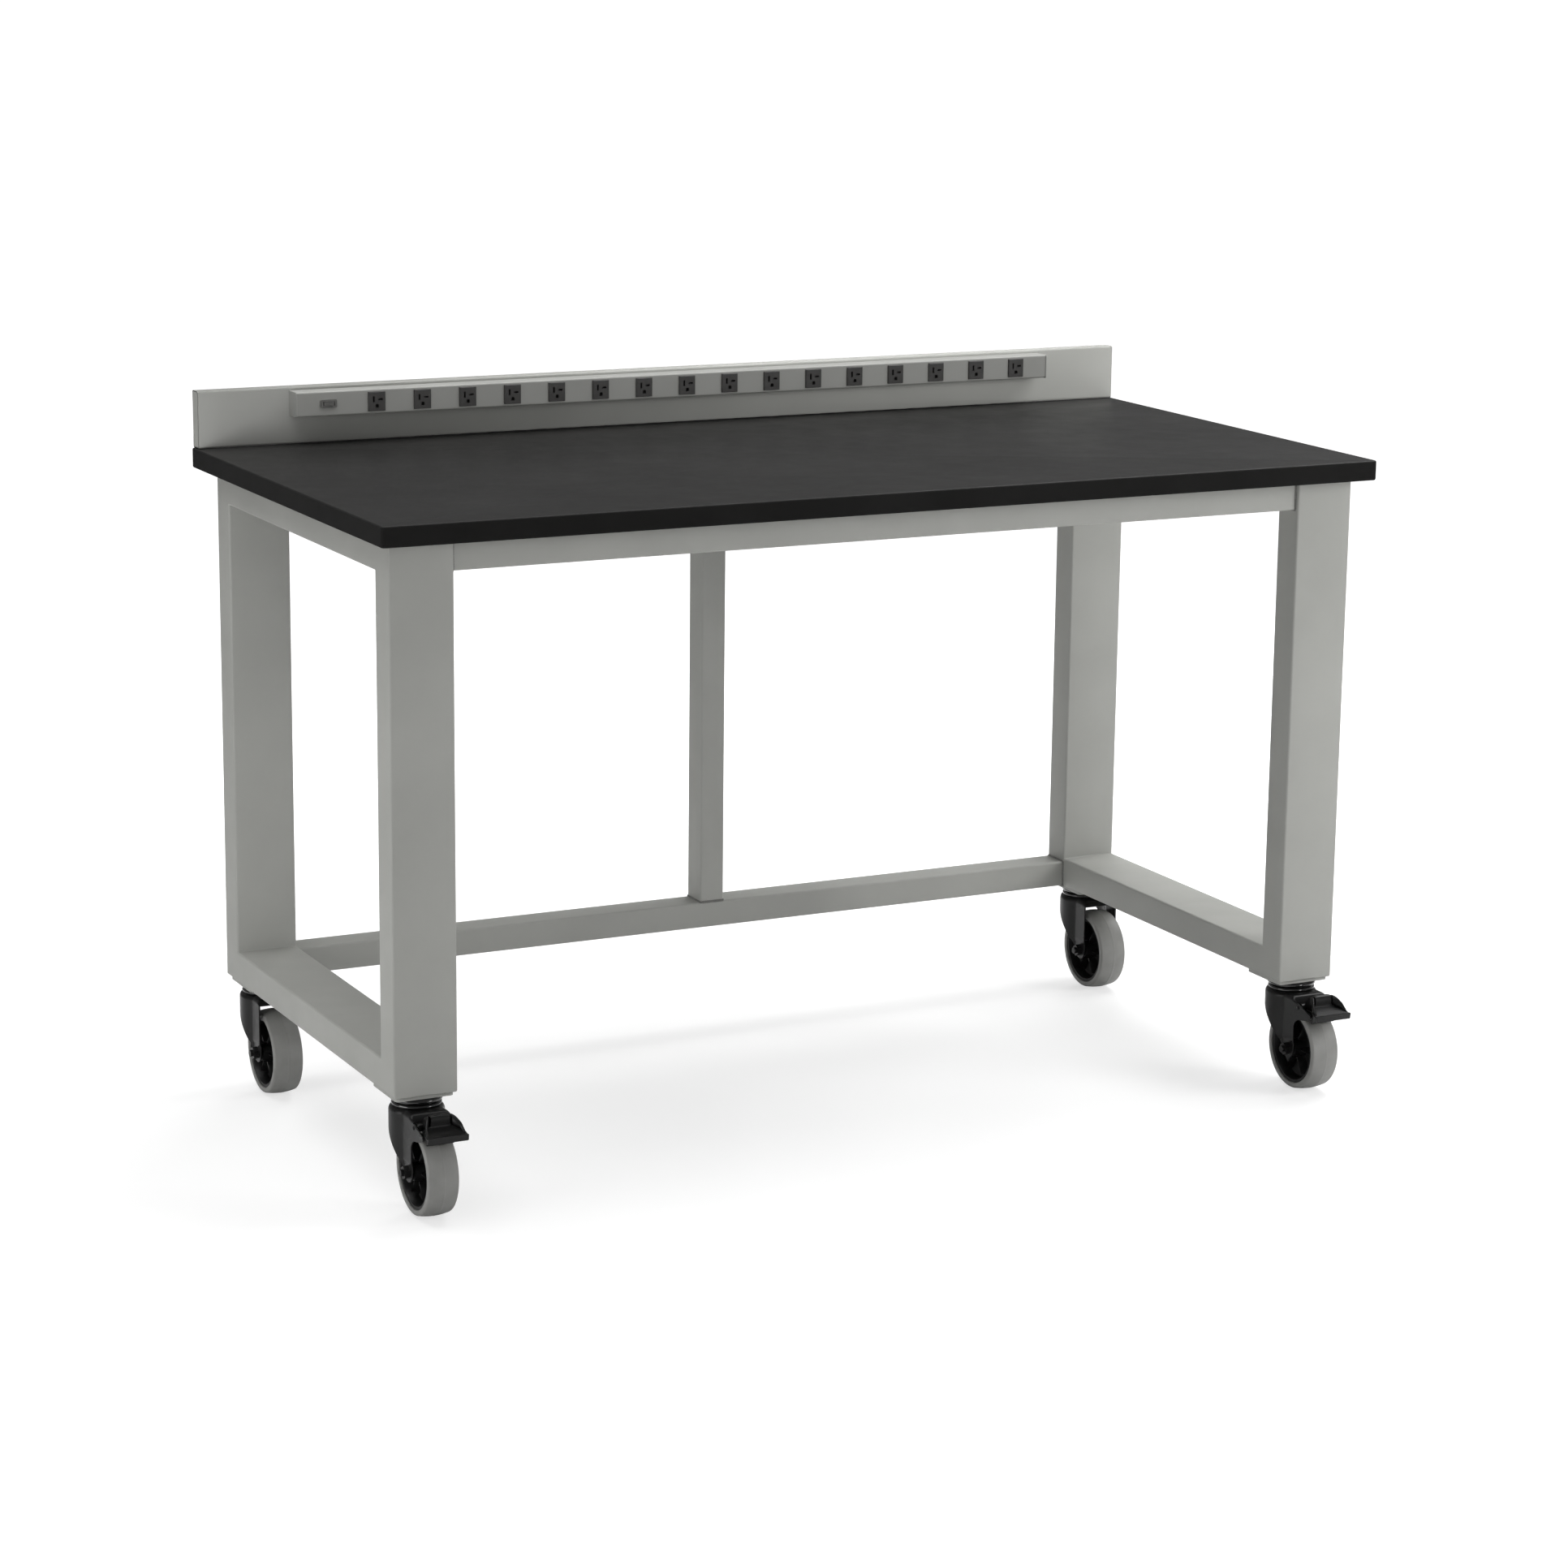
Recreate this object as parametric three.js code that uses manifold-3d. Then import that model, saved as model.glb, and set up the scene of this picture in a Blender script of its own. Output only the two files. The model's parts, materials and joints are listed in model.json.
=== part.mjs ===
// Mobile laboratory bench: a thick dark worktop with a steel upstand and a power strip on it,
// carried by a welded frame of rectangular tube that rolls on four swivel casters.
// Millimetres. +X runs along the worktop to the right, +Y to the back, +Z up; the floor is Z = 0.

import * as THREE from 'three';
import { mergeVertices } from 'three/addons/utils/BufferGeometryUtils.js';
import loadManifold from 'manifold-3d';

const manifold = await loadManifold();
manifold.setup();

// Clearances between pieces
const weldGap = 0.3;
const seatGap = 0.3;
const runningGap = 0.4;

// Worktop
const worktopLength = 1524;
const worktopDepth = 762;
const worktopThickness = 28.6;
const worktopHeight = 938;
const worktopCornerRadius = 9;
const worktopEdgeRadius = 4;

// Frame of two closed side frames, four cross rails and a post
const sideOverhang = 21;
const frontOverhang = 35;
const rearOverhang = 54;
const tubeWidth = 91;
const tubeDepth = 42;
const tubeCorner = 6;
const tubeWall = 3;
const topRailHeight = 42;
const lowerRailHeight = 40;
const railDepth = 38;
const railCorner = 4;
const railWall = 2;
const frontRailRecess = 4;
const rearRailRecess = 2;
const postWidth = 39;
const postOffset = 25;

// Caster plates under the side frames
const plateThickness = 5;
const plateLength = 88;
const plateSideInset = 4;
const plateEndInset = 2;
const plateCorner = 5;
const casterInset = 34;

// Casters
const wheelDiameter = 125;
const tyreWidth = 44;
const tyreShoulder = 9;
const tyreThickness = 14.7;
const coreWidth = 40;
const rimThickness = 5;
const webThickness = 5;
const hubRadius = 14;
const hubLength = 46.2;
const ribCount = 6;
const ribThickness = 3;
const ribSetback = 3.5;
const casterTrail = 38;
const crownClearance = 15.4;
const forkSheet = 3;
const forkTopWidth = 58;
const forkCrownRadius = 6;
const forkLegWidth = 54;
const forkRearReach = 27;
const forkLegReach = 15;
const forkEndRadius = 15;
const forkNoseReach = 66;
const forkTipReach = 95;
const forkTipDrop = 22;
const forkTipDepth = 4;
const forkArchDrop = 28;
const forkArchRadius = 9;
const forkShoulderDrop = 27;
const forkHeelRise = 9;
const joggleRise = 16;
const joggleDrop = 10.5;
const raceRadius = 33;
const raceHeight = 7;
const raceGap = 0.6;
const headRadius = 34;
const headThickness = 7.6;
const kingpinRadius = 6;
const rivetRadius = 10;
const rivetThickness = 4;
const axleRadius = 5;
const nutAcrossFlats = 16;
const nutThickness = 8;
const boltEnd = 4;

// Brake pedals of the two front casters
const pedalPivotReach = 64;
const pedalPivotDrop = 9;
const pedalBarrelRadius = 6;
const pedalPinRadius = 3;
const pedalNotchGap = 6;
const pedalArmWidth = 32;
const pedalSheet = 5;
const pedalRootRise = 3;
const pedalTabReach = 17;
const pedalTabRise = 20.5;
const pedalTabSheet = 5;
const pedalLipWidth = 58;
const pedalLipDepth = 17;
const pedalLipCorner = 4;
const pedalLipDrop = 2;
const pedalReach = 50;
const gussetSheet = 3;
const shoeWidth = 40;
const shoeStart = 119;
const shoeEnd = 138;
const shoeToe = 3;
const shoeGap = 5.6;

// Upstand behind the worktop
const upstandHeight = 82.5;
const upstandThickness = 23;
const upstandSheet = 1.5;
const upstandBend = 2.5;
const upstandEndInset = 3.5;
const upstandReturn = 14;

// Power strip
const stripLength = 1240;
const stripHeight = 36;
const stripDepth = 29;
const stripLift = 42;
const stripWall = 1.6;
const stripBend = 2.5;
const outletCount = 16;
const firstOutletMargin = 122.25;
const lastOutletMargin = 54.25;
const outletWidth = 26;
const outletHeight = 28;
const outletProud = 2;
const outletBodyDepth = 20;
const outletCorner = 2;
const slotDepth = 9;
const slotWidth = 2.6;
const tallSlotHeight = 8.5;
const shortSlotHeight = 6.6;
const slotSpread = 5.2;
const slotRise = 2.6;
const earthRadius = 2.6;
const earthDrop = 7;
const switchMargin = 48.5;
const bezelLength = 24.5;
const bezelHeight = 12;
const bezelProud = 1.4;
const bezelRim = 2;
const bezelBodyDepth = 14;
const rockerSwing = 10;
const rockerPinRadius = 1;
const rockerPinDepth = 2.4;
const rockerPinBite = 0.4;
const rockerSink = 0.6;
const glandMargin = 24;
const glandRadius = 8;
const glandBore = 4.4;
const glandFlange = 12;
const glandFlangeDepth = 4;
const glandLength = 14;

// Heights and planes that follow from the sizes above
const wheelRadius = wheelDiameter / 2;
const crownUnder = wheelDiameter + crownClearance;
const crownTop = crownUnder + forkSheet;
const raceTop = crownTop + raceHeight;
const headUnder = raceTop + raceGap;
const headTop = headUnder + headThickness;
const plateUnder = headTop + seatGap;
const legBottom = plateUnder + plateThickness + weldGap;
const worktopUnder = worktopHeight - worktopThickness;
const frameTop = worktopUnder - seatGap;
const worktopBack = worktopDepth / 2;
const frameFront = -worktopDepth / 2 + frontOverhang;
const frameBack = worktopBack - rearOverhang;
const frameOuter = worktopLength / 2 - sideOverhang;
const frameInner = frameOuter - tubeWidth;
const frameCentre = frameOuter - tubeWidth / 2;
const railSpan = 2 * (frameInner - weldGap);
const frontRailFace = frameFront + frontRailRecess;
const rearRailFace = frameBack - tubeDepth + rearRailRecess;
const upstandFace = worktopBack - upstandThickness;
const stripBack = upstandFace - seatGap;
const stripFace = stripBack - stripDepth;
const stripMiddle = worktopHeight + stripLift + stripHeight / 2;
const outletPitch = (stripLength - firstOutletMargin - lastOutletMargin) / (outletCount - 1);
const switchPlace = switchMargin - stripLength / 2;
const glandPlace = glandMargin - stripLength / 2;
const roundSteps = 16;
const wheelSteps = 20;

// Materials
const powderCoat = new THREE.MeshStandardMaterial({ color: 0xa9aaa3, roughness: 0.55, metalness: 0.1 });
const darkResin = new THREE.MeshStandardMaterial({ color: 0x2c2b2a, roughness: 0.45, metalness: 0 });
const blackSteel = new THREE.MeshStandardMaterial({ color: 0x1c1c1c, roughness: 0.4, metalness: 0.5 });
const blackPlastic = new THREE.MeshStandardMaterial({ color: 0x141414, roughness: 0.5, metalness: 0 });
const greyRubber = new THREE.MeshStandardMaterial({ color: 0x83837f, roughness: 0.8, metalness: 0 });
const greyAluminium = new THREE.MeshStandardMaterial({ color: 0x9c9d98, roughness: 0.45, metalness: 0.4 });
const outletPlastic = new THREE.MeshStandardMaterial({ color: 0x464544, roughness: 0.6, metalness: 0 });
const switchPlastic = new THREE.MeshStandardMaterial({ color: 0x656562, roughness: 0.5, metalness: 0 });

const bench = new THREE.Group();

// Turn a three.js geometry into a solid that can be joined and cut
function solidOf(geometry) {
  const bare = new THREE.BufferGeometry();
  bare.setAttribute('position', geometry.getAttribute('position').clone());
  if (geometry.index) {
    bare.setIndex(geometry.index.clone());
  }
  const merged = mergeVertices(bare, 1e-4);
  const corners = merged.getAttribute('position');
  const source = merged.index.array;
  const triangles = [];
  for (let i = 0; i < source.length; i += 3) {
    const [a, b, c] = [source[i], source[i + 1], source[i + 2]];
    if (a !== b && b !== c && c !== a) {
      triangles.push(a, b, c);
    }
  }
  const mesh = new manifold.Mesh({
    numProp: 3,
    vertProperties: new Float32Array(corners.array),
    triVerts: new Uint32Array(triangles),
  });
  return new manifold.Manifold(mesh);
}

function geometryOf(solid) {
  const mesh = solid.getMesh();
  const geometry = new THREE.BufferGeometry();
  geometry.setAttribute('position', new THREE.BufferAttribute(mesh.vertProperties, 3));
  geometry.setIndex(new THREE.BufferAttribute(mesh.triVerts, 1));
  geometry.computeVertexNormals();
  return geometry;
}

function join(first, ...others) {
  return others.reduce((sum, other) => sum.add(other), first);
}

function cut(body, ...tools) {
  return tools.reduce((rest, tool) => rest.subtract(tool), body);
}

function addPart(group, name, solid, material) {
  const mesh = new THREE.Mesh(geometryOf(solid), material);
  mesh.name = name;
  group.add(mesh);
  return mesh;
}

// Outlines
function roundedRectangle(width, height, radius) {
  const shape = new THREE.Shape();
  const right = width / 2;
  const top = height / 2;
  shape.moveTo(-right + radius, -top);
  shape.lineTo(right - radius, -top);
  shape.absarc(right - radius, -top + radius, radius, -Math.PI / 2, 0, false);
  shape.lineTo(right, top - radius);
  shape.absarc(right - radius, top - radius, radius, 0, Math.PI / 2, false);
  shape.lineTo(-right + radius, top);
  shape.absarc(-right + radius, top - radius, radius, Math.PI / 2, Math.PI, false);
  shape.lineTo(-right, -top + radius);
  shape.absarc(-right + radius, -top + radius, radius, Math.PI, Math.PI * 1.5, false);
  return shape;
}

function polygon(points) {
  return new THREE.Shape(points.map(([x, y]) => new THREE.Vector2(x, y)));
}

// Solids with their middle at the origin, extruded along one axis
function extruded(shape, depth, curveSegments = 3) {
  const geometry = new THREE.ExtrudeGeometry(shape, { depth, bevelEnabled: false, curveSegments });
  return geometry.translate(0, 0, -depth / 2);
}

function alongX(shape, depth, curveSegments) {
  const turn = new THREE.Matrix4().makeBasis(
    new THREE.Vector3(0, 1, 0),
    new THREE.Vector3(0, 0, 1),
    new THREE.Vector3(1, 0, 0),
  );
  return solidOf(extruded(shape, depth, curveSegments).applyMatrix4(turn));
}

function alongY(shape, depth, curveSegments) {
  return solidOf(extruded(shape, depth, curveSegments).rotateX(Math.PI / 2));
}

function alongZ(shape, depth, curveSegments) {
  return solidOf(extruded(shape, depth, curveSegments));
}

function block(x, y, z) {
  return solidOf(new THREE.BoxGeometry(x, y, z));
}

// Solids of revolution from a closed outline of radius and height pairs
function revolvedZ(outline, steps = roundSteps) {
  const points = outline.map(([radius, height]) => new THREE.Vector2(radius, height));
  return solidOf(new THREE.LatheGeometry(points, steps).rotateX(Math.PI / 2));
}

function revolvedX(outline, steps = roundSteps) {
  const points = outline.map(([radius, height]) => new THREE.Vector2(radius, height));
  return solidOf(new THREE.LatheGeometry(points, steps).rotateZ(-Math.PI / 2));
}

function rodX(radius, length, steps = 12) {
  return solidOf(new THREE.CylinderGeometry(radius, radius, length, steps).rotateZ(Math.PI / 2));
}

function rodY(radius, length, steps = 12) {
  return solidOf(new THREE.CylinderGeometry(radius, radius, length, steps));
}

function rodZ(radius, length, steps = 12) {
  return solidOf(new THREE.CylinderGeometry(radius, radius, length, steps).rotateX(Math.PI / 2));
}

// Hollow tube sections
function tubeSection(width, height, corner, wall) {
  const shape = roundedRectangle(width, height, corner);
  shape.holes.push(roundedRectangle(width - 2 * wall, height - 2 * wall, corner - wall));
  return shape;
}

// Side frames: four tubes mitred at the corners of a closed rectangle, a weld gap in each mitre
function addSideFrame(side, x) {
  const width = frameBack - frameFront;
  const height = frameTop - legBottom;
  const middleY = (frameBack + frameFront) / 2;
  const middleZ = (frameTop + legBottom) / 2;
  const halfGap = weldGap / 2;
  const slope = Math.SQRT1_2;

  function trimCorner(tube, normal, point) {
    const offset = normal[1] * point[1] + normal[2] * point[2] + halfGap;
    return tube.trimByPlane(normal, offset);
  }

  function leg(towardsY) {
    const tube = alongZ(tubeSection(tubeWidth, tubeDepth, tubeCorner, tubeWall), height + tubeDepth, 2);
    const placed = tube.translate([0, towardsY * (width / 2 - tubeDepth / 2), 0]);
    const lower = trimCorner(placed, [0, towardsY * slope, slope], [0, (towardsY * width) / 2, -height / 2]);
    return trimCorner(lower, [0, towardsY * slope, -slope], [0, (towardsY * width) / 2, height / 2]);
  }

  function rail(towardsZ) {
    const tube = alongY(tubeSection(tubeWidth, tubeDepth, tubeCorner, tubeWall), width + tubeDepth, 2);
    const placed = tube.translate([0, 0, towardsZ * (height / 2 - tubeDepth / 2)]);
    const front = trimCorner(placed, [0, slope, towardsZ * slope], [0, -width / 2, (towardsZ * height) / 2]);
    return trimCorner(front, [0, -slope, towardsZ * slope], [0, width / 2, (towardsZ * height) / 2]);
  }

  const frame = new THREE.Group();
  frame.position.set(x, middleY, middleZ);
  addPart(frame, `${side}_front_leg`, leg(-1), powderCoat);
  addPart(frame, `${side}_rear_leg`, leg(1), powderCoat);
  addPart(frame, `${side}_top_rail`, rail(1), powderCoat);
  addPart(frame, `${side}_bottom_rail`, rail(-1), powderCoat);
  bench.add(frame);
}

// Cross rails and the post between the two side frames
function addCrossRail(name, height, middleY, middleZ) {
  const tube = alongX(tubeSection(railDepth, height, railCorner, railWall), railSpan, 2);
  addPart(bench, name, tube.translate([0, middleY, middleZ]), powderCoat);
}

function addPost() {
  const foot = legBottom + lowerRailHeight + weldGap;
  const head = frameTop - topRailHeight - weldGap;
  const tube = alongZ(tubeSection(postWidth, railDepth, railCorner, railWall), head - foot, 2);
  const placed = tube.translate([postOffset, rearRailFace + railDepth / 2, (foot + head) / 2]);
  addPart(bench, 'rear_centre_post', placed, powderCoat);
}

function addFrame() {
  addSideFrame('left', -frameCentre);
  addSideFrame('right', frameCentre);
  const topMiddle = frameTop - topRailHeight / 2;
  const lowerMiddle = legBottom + lowerRailHeight / 2;
  const rearMiddle = rearRailFace + railDepth / 2;
  addCrossRail('front_top_rail', topRailHeight, frontRailFace + railDepth / 2, topMiddle);
  addCrossRail('rear_top_rail', topRailHeight, rearMiddle, topMiddle);
  addCrossRail('rear_bottom_rail', lowerRailHeight, rearMiddle, lowerMiddle);
  addPost();
}

// Worktop: a slab with rounded corners and eased edges, flat on top and underneath
function addWorktop() {
  const flatLength = worktopLength - 2 * worktopEdgeRadius;
  const flatDepth = worktopDepth - 2 * worktopEdgeRadius;
  const outline = roundedRectangle(flatLength, flatDepth, worktopCornerRadius - worktopEdgeRadius);
  const slab = new THREE.ExtrudeGeometry(outline, {
    depth: worktopThickness - 2 * worktopEdgeRadius,
    bevelThickness: worktopEdgeRadius,
    bevelSize: worktopEdgeRadius,
    bevelSegments: 2,
    curveSegments: 3,
  });
  slab.translate(0, 0, worktopUnder + worktopEdgeRadius);
  addPart(bench, 'worktop', solidOf(slab), darkResin);
}

// Upstand: a folded pan with return flanges, open at the back, drilled for the supply gland
function addUpstand() {
  const length = worktopLength - 2 * upstandEndInset;
  const under = worktopHeight + seatGap;
  const middleY = upstandFace + upstandThickness / 2;
  const middleZ = under + upstandHeight / 2;
  const outer = alongX(roundedRectangle(upstandThickness, upstandHeight, upstandBend), length);
  const hollowDepth = upstandThickness - 2 * upstandSheet;
  const hollowHeight = upstandHeight - 2 * upstandSheet;
  const inner = block(length - 2 * upstandSheet, hollowDepth, hollowHeight);
  const window = block(length - 2 * upstandReturn, upstandThickness, upstandHeight - 2 * upstandReturn);
  const hole = rodY(glandRadius + seatGap, upstandThickness);
  const pan = cut(
    outer.translate([0, middleY, middleZ]),
    inner.translate([0, middleY, middleZ]),
    window.translate([0, worktopBack, middleZ]),
    hole.translate([glandPlace, upstandFace, stripMiddle]),
  );
  addPart(bench, 'upstand', pan, powderCoat);
}

// Supply gland: a flanged bush through the front sheet of the upstand into the back of the strip
function addGland() {
  const bush = rodY(glandRadius, glandLength).translate([0, upstandFace, 0]);
  const flange = rodY(glandFlange, glandFlangeDepth, 6);
  const seat = upstandFace + upstandSheet + seatGap + glandFlangeDepth / 2;
  const gland = cut(
    join(bush, flange.translate([0, seat, 0])),
    rodY(glandBore, 2 * glandLength).translate([0, seat, 0]),
  );
  addPart(bench, 'supply_gland', gland.translate([glandPlace, 0, stripMiddle]), blackPlastic);
}

// Power strip housing: a channel closed at its ends, pierced for the outlets and the switch
function outletPlace(index) {
  return firstOutletMargin - stripLength / 2 + index * outletPitch;
}

function addStripHousing() {
  const middleY = stripFace + stripDepth / 2;
  const outer = alongX(roundedRectangle(stripDepth, stripHeight, stripBend), stripLength);
  const inner = block(stripLength - 2 * stripWall, stripDepth, stripHeight - 2 * stripWall);
  const squareBack = block(stripLength, stripBend, stripHeight);
  const channel = cut(
    join(outer, squareBack.translate([0, stripDepth / 2 - stripBend / 2, 0])),
    inner.translate([0, stripWall, 0]),
  );
  const windows = [];
  for (let i = 0; i < outletCount; i += 1) {
    const window = block(outletWidth + 2 * seatGap, 4 * stripWall, outletHeight + 2 * seatGap);
    windows.push(window.translate([outletPlace(i), -stripDepth / 2, 0]));
  }
  const bodyLength = bezelLength - 2 * bezelRim;
  const bodyHeight = bezelHeight - 2 * bezelRim;
  const switchWindow = block(bodyLength + 2 * seatGap, 4 * stripWall, bodyHeight + 2 * seatGap);
  windows.push(switchWindow.translate([switchPlace, -stripDepth / 2, 0]));
  const housing = cut(channel, ...windows);
  addPart(bench, 'strip_housing', housing.translate([0, middleY, stripMiddle]), greyAluminium);
}

// Outlet: a block standing proud of the strip, with two blade slots and an earth hole
function outletSolid() {
  const depth = outletBodyDepth + outletProud;
  const body = alongY(roundedRectangle(outletWidth, outletHeight, outletCorner), depth, 1);
  const face = -depth / 2;
  const tallSlot = block(slotWidth, 2 * slotDepth, tallSlotHeight);
  const shortSlot = block(slotWidth, 2 * slotDepth, shortSlotHeight);
  const earth = rodY(earthRadius, 2 * slotDepth, 6);
  return cut(
    body,
    tallSlot.translate([-slotSpread, face, slotRise]),
    shortSlot.translate([slotSpread, face, slotRise]),
    earth.translate([0, face, -earthDrop]),
  );
}

function addOutlets() {
  const middleY = stripFace - outletProud + (outletBodyDepth + outletProud) / 2;
  const solid = outletSolid();
  for (let i = 0; i < outletCount; i += 1) {
    const number = String(i + 1).padStart(2, '0');
    const outlet = addPart(bench, `outlet_${number}`, solid, outletPlastic);
    outlet.position.set(outletPlace(i), middleY, stripMiddle);
  }
}

// Switch: a bezel with a pocket, and a rocker that tips about an upright pin in it
function addSwitch() {
  const bodyLength = bezelLength - 2 * bezelRim;
  const bodyHeight = bezelHeight - 2 * bezelRim;
  const pocketLength = bodyLength - 1.5 * bezelRim;
  const pocketHeight = bodyHeight - bezelRim;
  const flange = alongY(roundedRectangle(bezelLength, bezelHeight, bezelRim), bezelProud, 2);
  const body = block(bodyLength, bezelBodyDepth, bodyHeight);
  const pocket = block(pocketLength, 2 * bezelBodyDepth - 2 * bezelRim, pocketHeight);
  const socket = rodZ(rockerPinRadius + runningGap / 2, pocketHeight + 4 * rockerPinBite, 10);
  const bezel = cut(
    join(
      flange.translate([0, -bezelProud / 2 - seatGap, 0]),
      body.translate([0, bezelBodyDepth / 2 - seatGap - bezelProud / 2, 0]),
    ),
    pocket.translate([0, -bezelProud, 0]),
    socket.translate([0, rockerPinDepth, 0]),
  );
  addPart(bench, 'switch_bezel', bezel, switchPlastic).position.set(switchPlace, stripFace, stripMiddle);

  const rockerRadius = pocketLength / 2 - runningGap;
  const dish = Math.tan(THREE.MathUtils.degToRad(rockerSwing)) * rockerRadius;
  const front = -rockerPinDepth - bezelProud - seatGap - rockerSink;
  const profile = new THREE.Shape();
  profile.moveTo(-rockerRadius, 0);
  profile.absarc(0, 0, rockerRadius, Math.PI, 2 * Math.PI, false);
  profile.lineTo(rockerRadius - dish, 2 * dish);
  profile.lineTo(-rockerRadius + dish, 2 * dish);
  const barrel = alongZ(profile, pocketHeight - 2 * runningGap, 8);
  const keep = alongZ(polygon([
    [-bezelLength / 2, front - dish],
    [0, front],
    [bezelLength / 2, front - dish],
    [bezelLength / 2, rockerRadius],
    [-bezelLength / 2, rockerRadius],
  ]), bezelHeight);
  const pin = rodZ(rockerPinRadius, pocketHeight + 2 * rockerPinBite, 10);
  const rocker = addPart(bench, 'switch_rocker', join(barrel.intersect(keep), pin), blackPlastic);
  rocker.position.set(switchPlace, stripFace + rockerPinDepth, stripMiddle);
  rocker.rotation.z = -THREE.MathUtils.degToRad(rockerSwing);
}

// Caster plate: a pad welded under the corner of a side frame, drilled for the caster's stem
function addCasterPlate(name, x, y, towardsY) {
  const width = tubeWidth - 2 * plateSideInset;
  const outward = casterInset - plateEndInset;
  const shift = towardsY * (outward - plateLength / 2);
  const pad = alongZ(roundedRectangle(width, plateLength, plateCorner), plateThickness, 1);
  const hole = rodZ(kingpinRadius + seatGap, 2 * plateThickness);
  const plate = cut(pad.translate([0, shift, 0]), hole);
  const middleZ = plateUnder + plateThickness / 2;
  addPart(bench, name, plate.translate([x, y, middleZ]), powderCoat);
}

// Swivel head: the fixed upper ring on a kingpin that is riveted over under the fork crown
function swivelHeadSolid() {
  const rim = headThickness * 0.3;
  const rivetTop = crownUnder - runningGap;
  const rivetUnder = rivetTop - rivetThickness;
  return revolvedZ([
    [0, rivetUnder],
    [rivetRadius * 0.6, rivetUnder],
    [rivetRadius, rivetUnder + rivetThickness * 0.6],
    [rivetRadius, rivetTop],
    [kingpinRadius, rivetTop],
    [kingpinRadius, headUnder],
    [headRadius - rim, headUnder],
    [headRadius, headUnder + rim],
    [headRadius, headTop - rim],
    [headRadius - rim, headTop],
    [kingpinRadius, headTop],
    [kingpinRadius, plateUnder + plateThickness - seatGap],
    [0, plateUnder + plateThickness - seatGap],
  ]);
}

// Fork: sheet pressed to an upside-down U whose legs step in to the hub and sweep forward to the axle
function forkSection() {
  const top = forkTopWidth / 2;
  const low = forkLegWidth / 2;
  const bend = forkCrownRadius;
  const inside = bend - forkSheet;
  const bendTop = crownTop - bend;
  const foot = wheelRadius - forkEndRadius;
  const stepTop = wheelRadius + joggleRise;
  const stepLow = wheelRadius + joggleDrop;
  const shape = new THREE.Shape();
  shape.moveTo(-low, foot);
  shape.lineTo(-low + forkSheet, foot);
  shape.lineTo(-low + forkSheet, stepLow);
  shape.lineTo(-top + forkSheet, stepTop);
  shape.lineTo(-top + forkSheet, bendTop);
  shape.absarc(-top + bend, bendTop, inside, Math.PI, Math.PI / 2, true);
  shape.lineTo(top - bend, crownUnder);
  shape.absarc(top - bend, bendTop, inside, Math.PI / 2, 0, true);
  shape.lineTo(top - forkSheet, stepTop);
  shape.lineTo(low - forkSheet, stepLow);
  shape.lineTo(low - forkSheet, foot);
  shape.lineTo(low, foot);
  shape.lineTo(low, stepLow);
  shape.lineTo(top, stepTop);
  shape.lineTo(top, bendTop);
  shape.absarc(top - bend, bendTop, bend, 0, Math.PI / 2, false);
  shape.lineTo(-top + bend, crownTop);
  shape.absarc(-top + bend, bendTop, bend, Math.PI / 2, Math.PI, false);
  shape.lineTo(-top, stepTop);
  shape.lineTo(-low, stepLow);
  return shape;
}

function forkOutline(braked) {
  const axleY = -casterTrail;
  const legFront = axleY - forkLegReach;
  const archTop = crownTop - forkArchDrop;
  const tipTop = crownTop - forkTipDrop;
  const shape = new THREE.Shape();
  shape.moveTo(forkRearReach, crownTop);
  if (braked) {
    shape.lineTo(-forkNoseReach, crownTop);
    shape.lineTo(-forkTipReach, tipTop);
    shape.lineTo(-forkTipReach, tipTop - forkTipDepth);
    shape.lineTo(legFront - forkArchRadius, archTop);
    shape.quadraticCurveTo(legFront, archTop, legFront, archTop - forkArchRadius);
  } else {
    shape.lineTo(legFront, crownTop);
  }
  shape.lineTo(axleY - forkEndRadius, wheelRadius);
  shape.absarc(axleY, wheelRadius, forkEndRadius, Math.PI, 2 * Math.PI, false);
  shape.quadraticCurveTo(
    forkRearReach - forkCrownRadius,
    wheelRadius + forkHeelRise,
    forkRearReach,
    crownTop - forkShoulderDrop,
  );
  return shape;
}

function raceSolid() {
  const rim = raceHeight * 0.3;
  const seat = crownTop - forkSheet / 2;
  return revolvedZ([
    [0, seat],
    [raceRadius - rim, seat],
    [raceRadius - rim, crownTop],
    [raceRadius, crownTop + rim],
    [raceRadius, raceTop - rim],
    [raceRadius - rim, raceTop],
    [0, raceTop],
  ]);
}

function forkSolid(braked) {
  const length = forkTipReach + forkRearReach;
  const middleY = (forkRearReach - forkTipReach) / 2;
  const bent = alongY(forkSection(), length, 2).translate([0, middleY, 0]);
  const sheet = bent.intersect(alongX(forkOutline(braked), 2 * forkTopWidth, 4));
  const kingpinHole = rodZ(kingpinRadius + runningGap, 4 * raceHeight).translate([0, 0, crownTop]);
  const axleHole = rodX(axleRadius + seatGap, 2 * forkTopWidth).translate([0, -casterTrail, wheelRadius]);
  const fork = cut(join(sheet, raceSolid()), kingpinHole, axleHole);
  if (!braked) {
    return fork;
  }
  const notchBack = pedalPivotReach - pedalBarrelRadius - pedalNotchGap;
  const notchLength = 2 * (forkTipReach - notchBack);
  const notch = block(forkTopWidth - 2 * forkSheet, notchLength, 4 * pedalBarrelRadius);
  const pinHole = rodX(pedalPinRadius + runningGap, 2 * forkTopWidth);
  return cut(
    fork,
    notch.translate([0, -notchBack - notchLength / 2, crownTop]),
    pinHole.translate([0, -pedalPivotReach, crownUnder - pedalPivotDrop]),
  );
}

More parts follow.
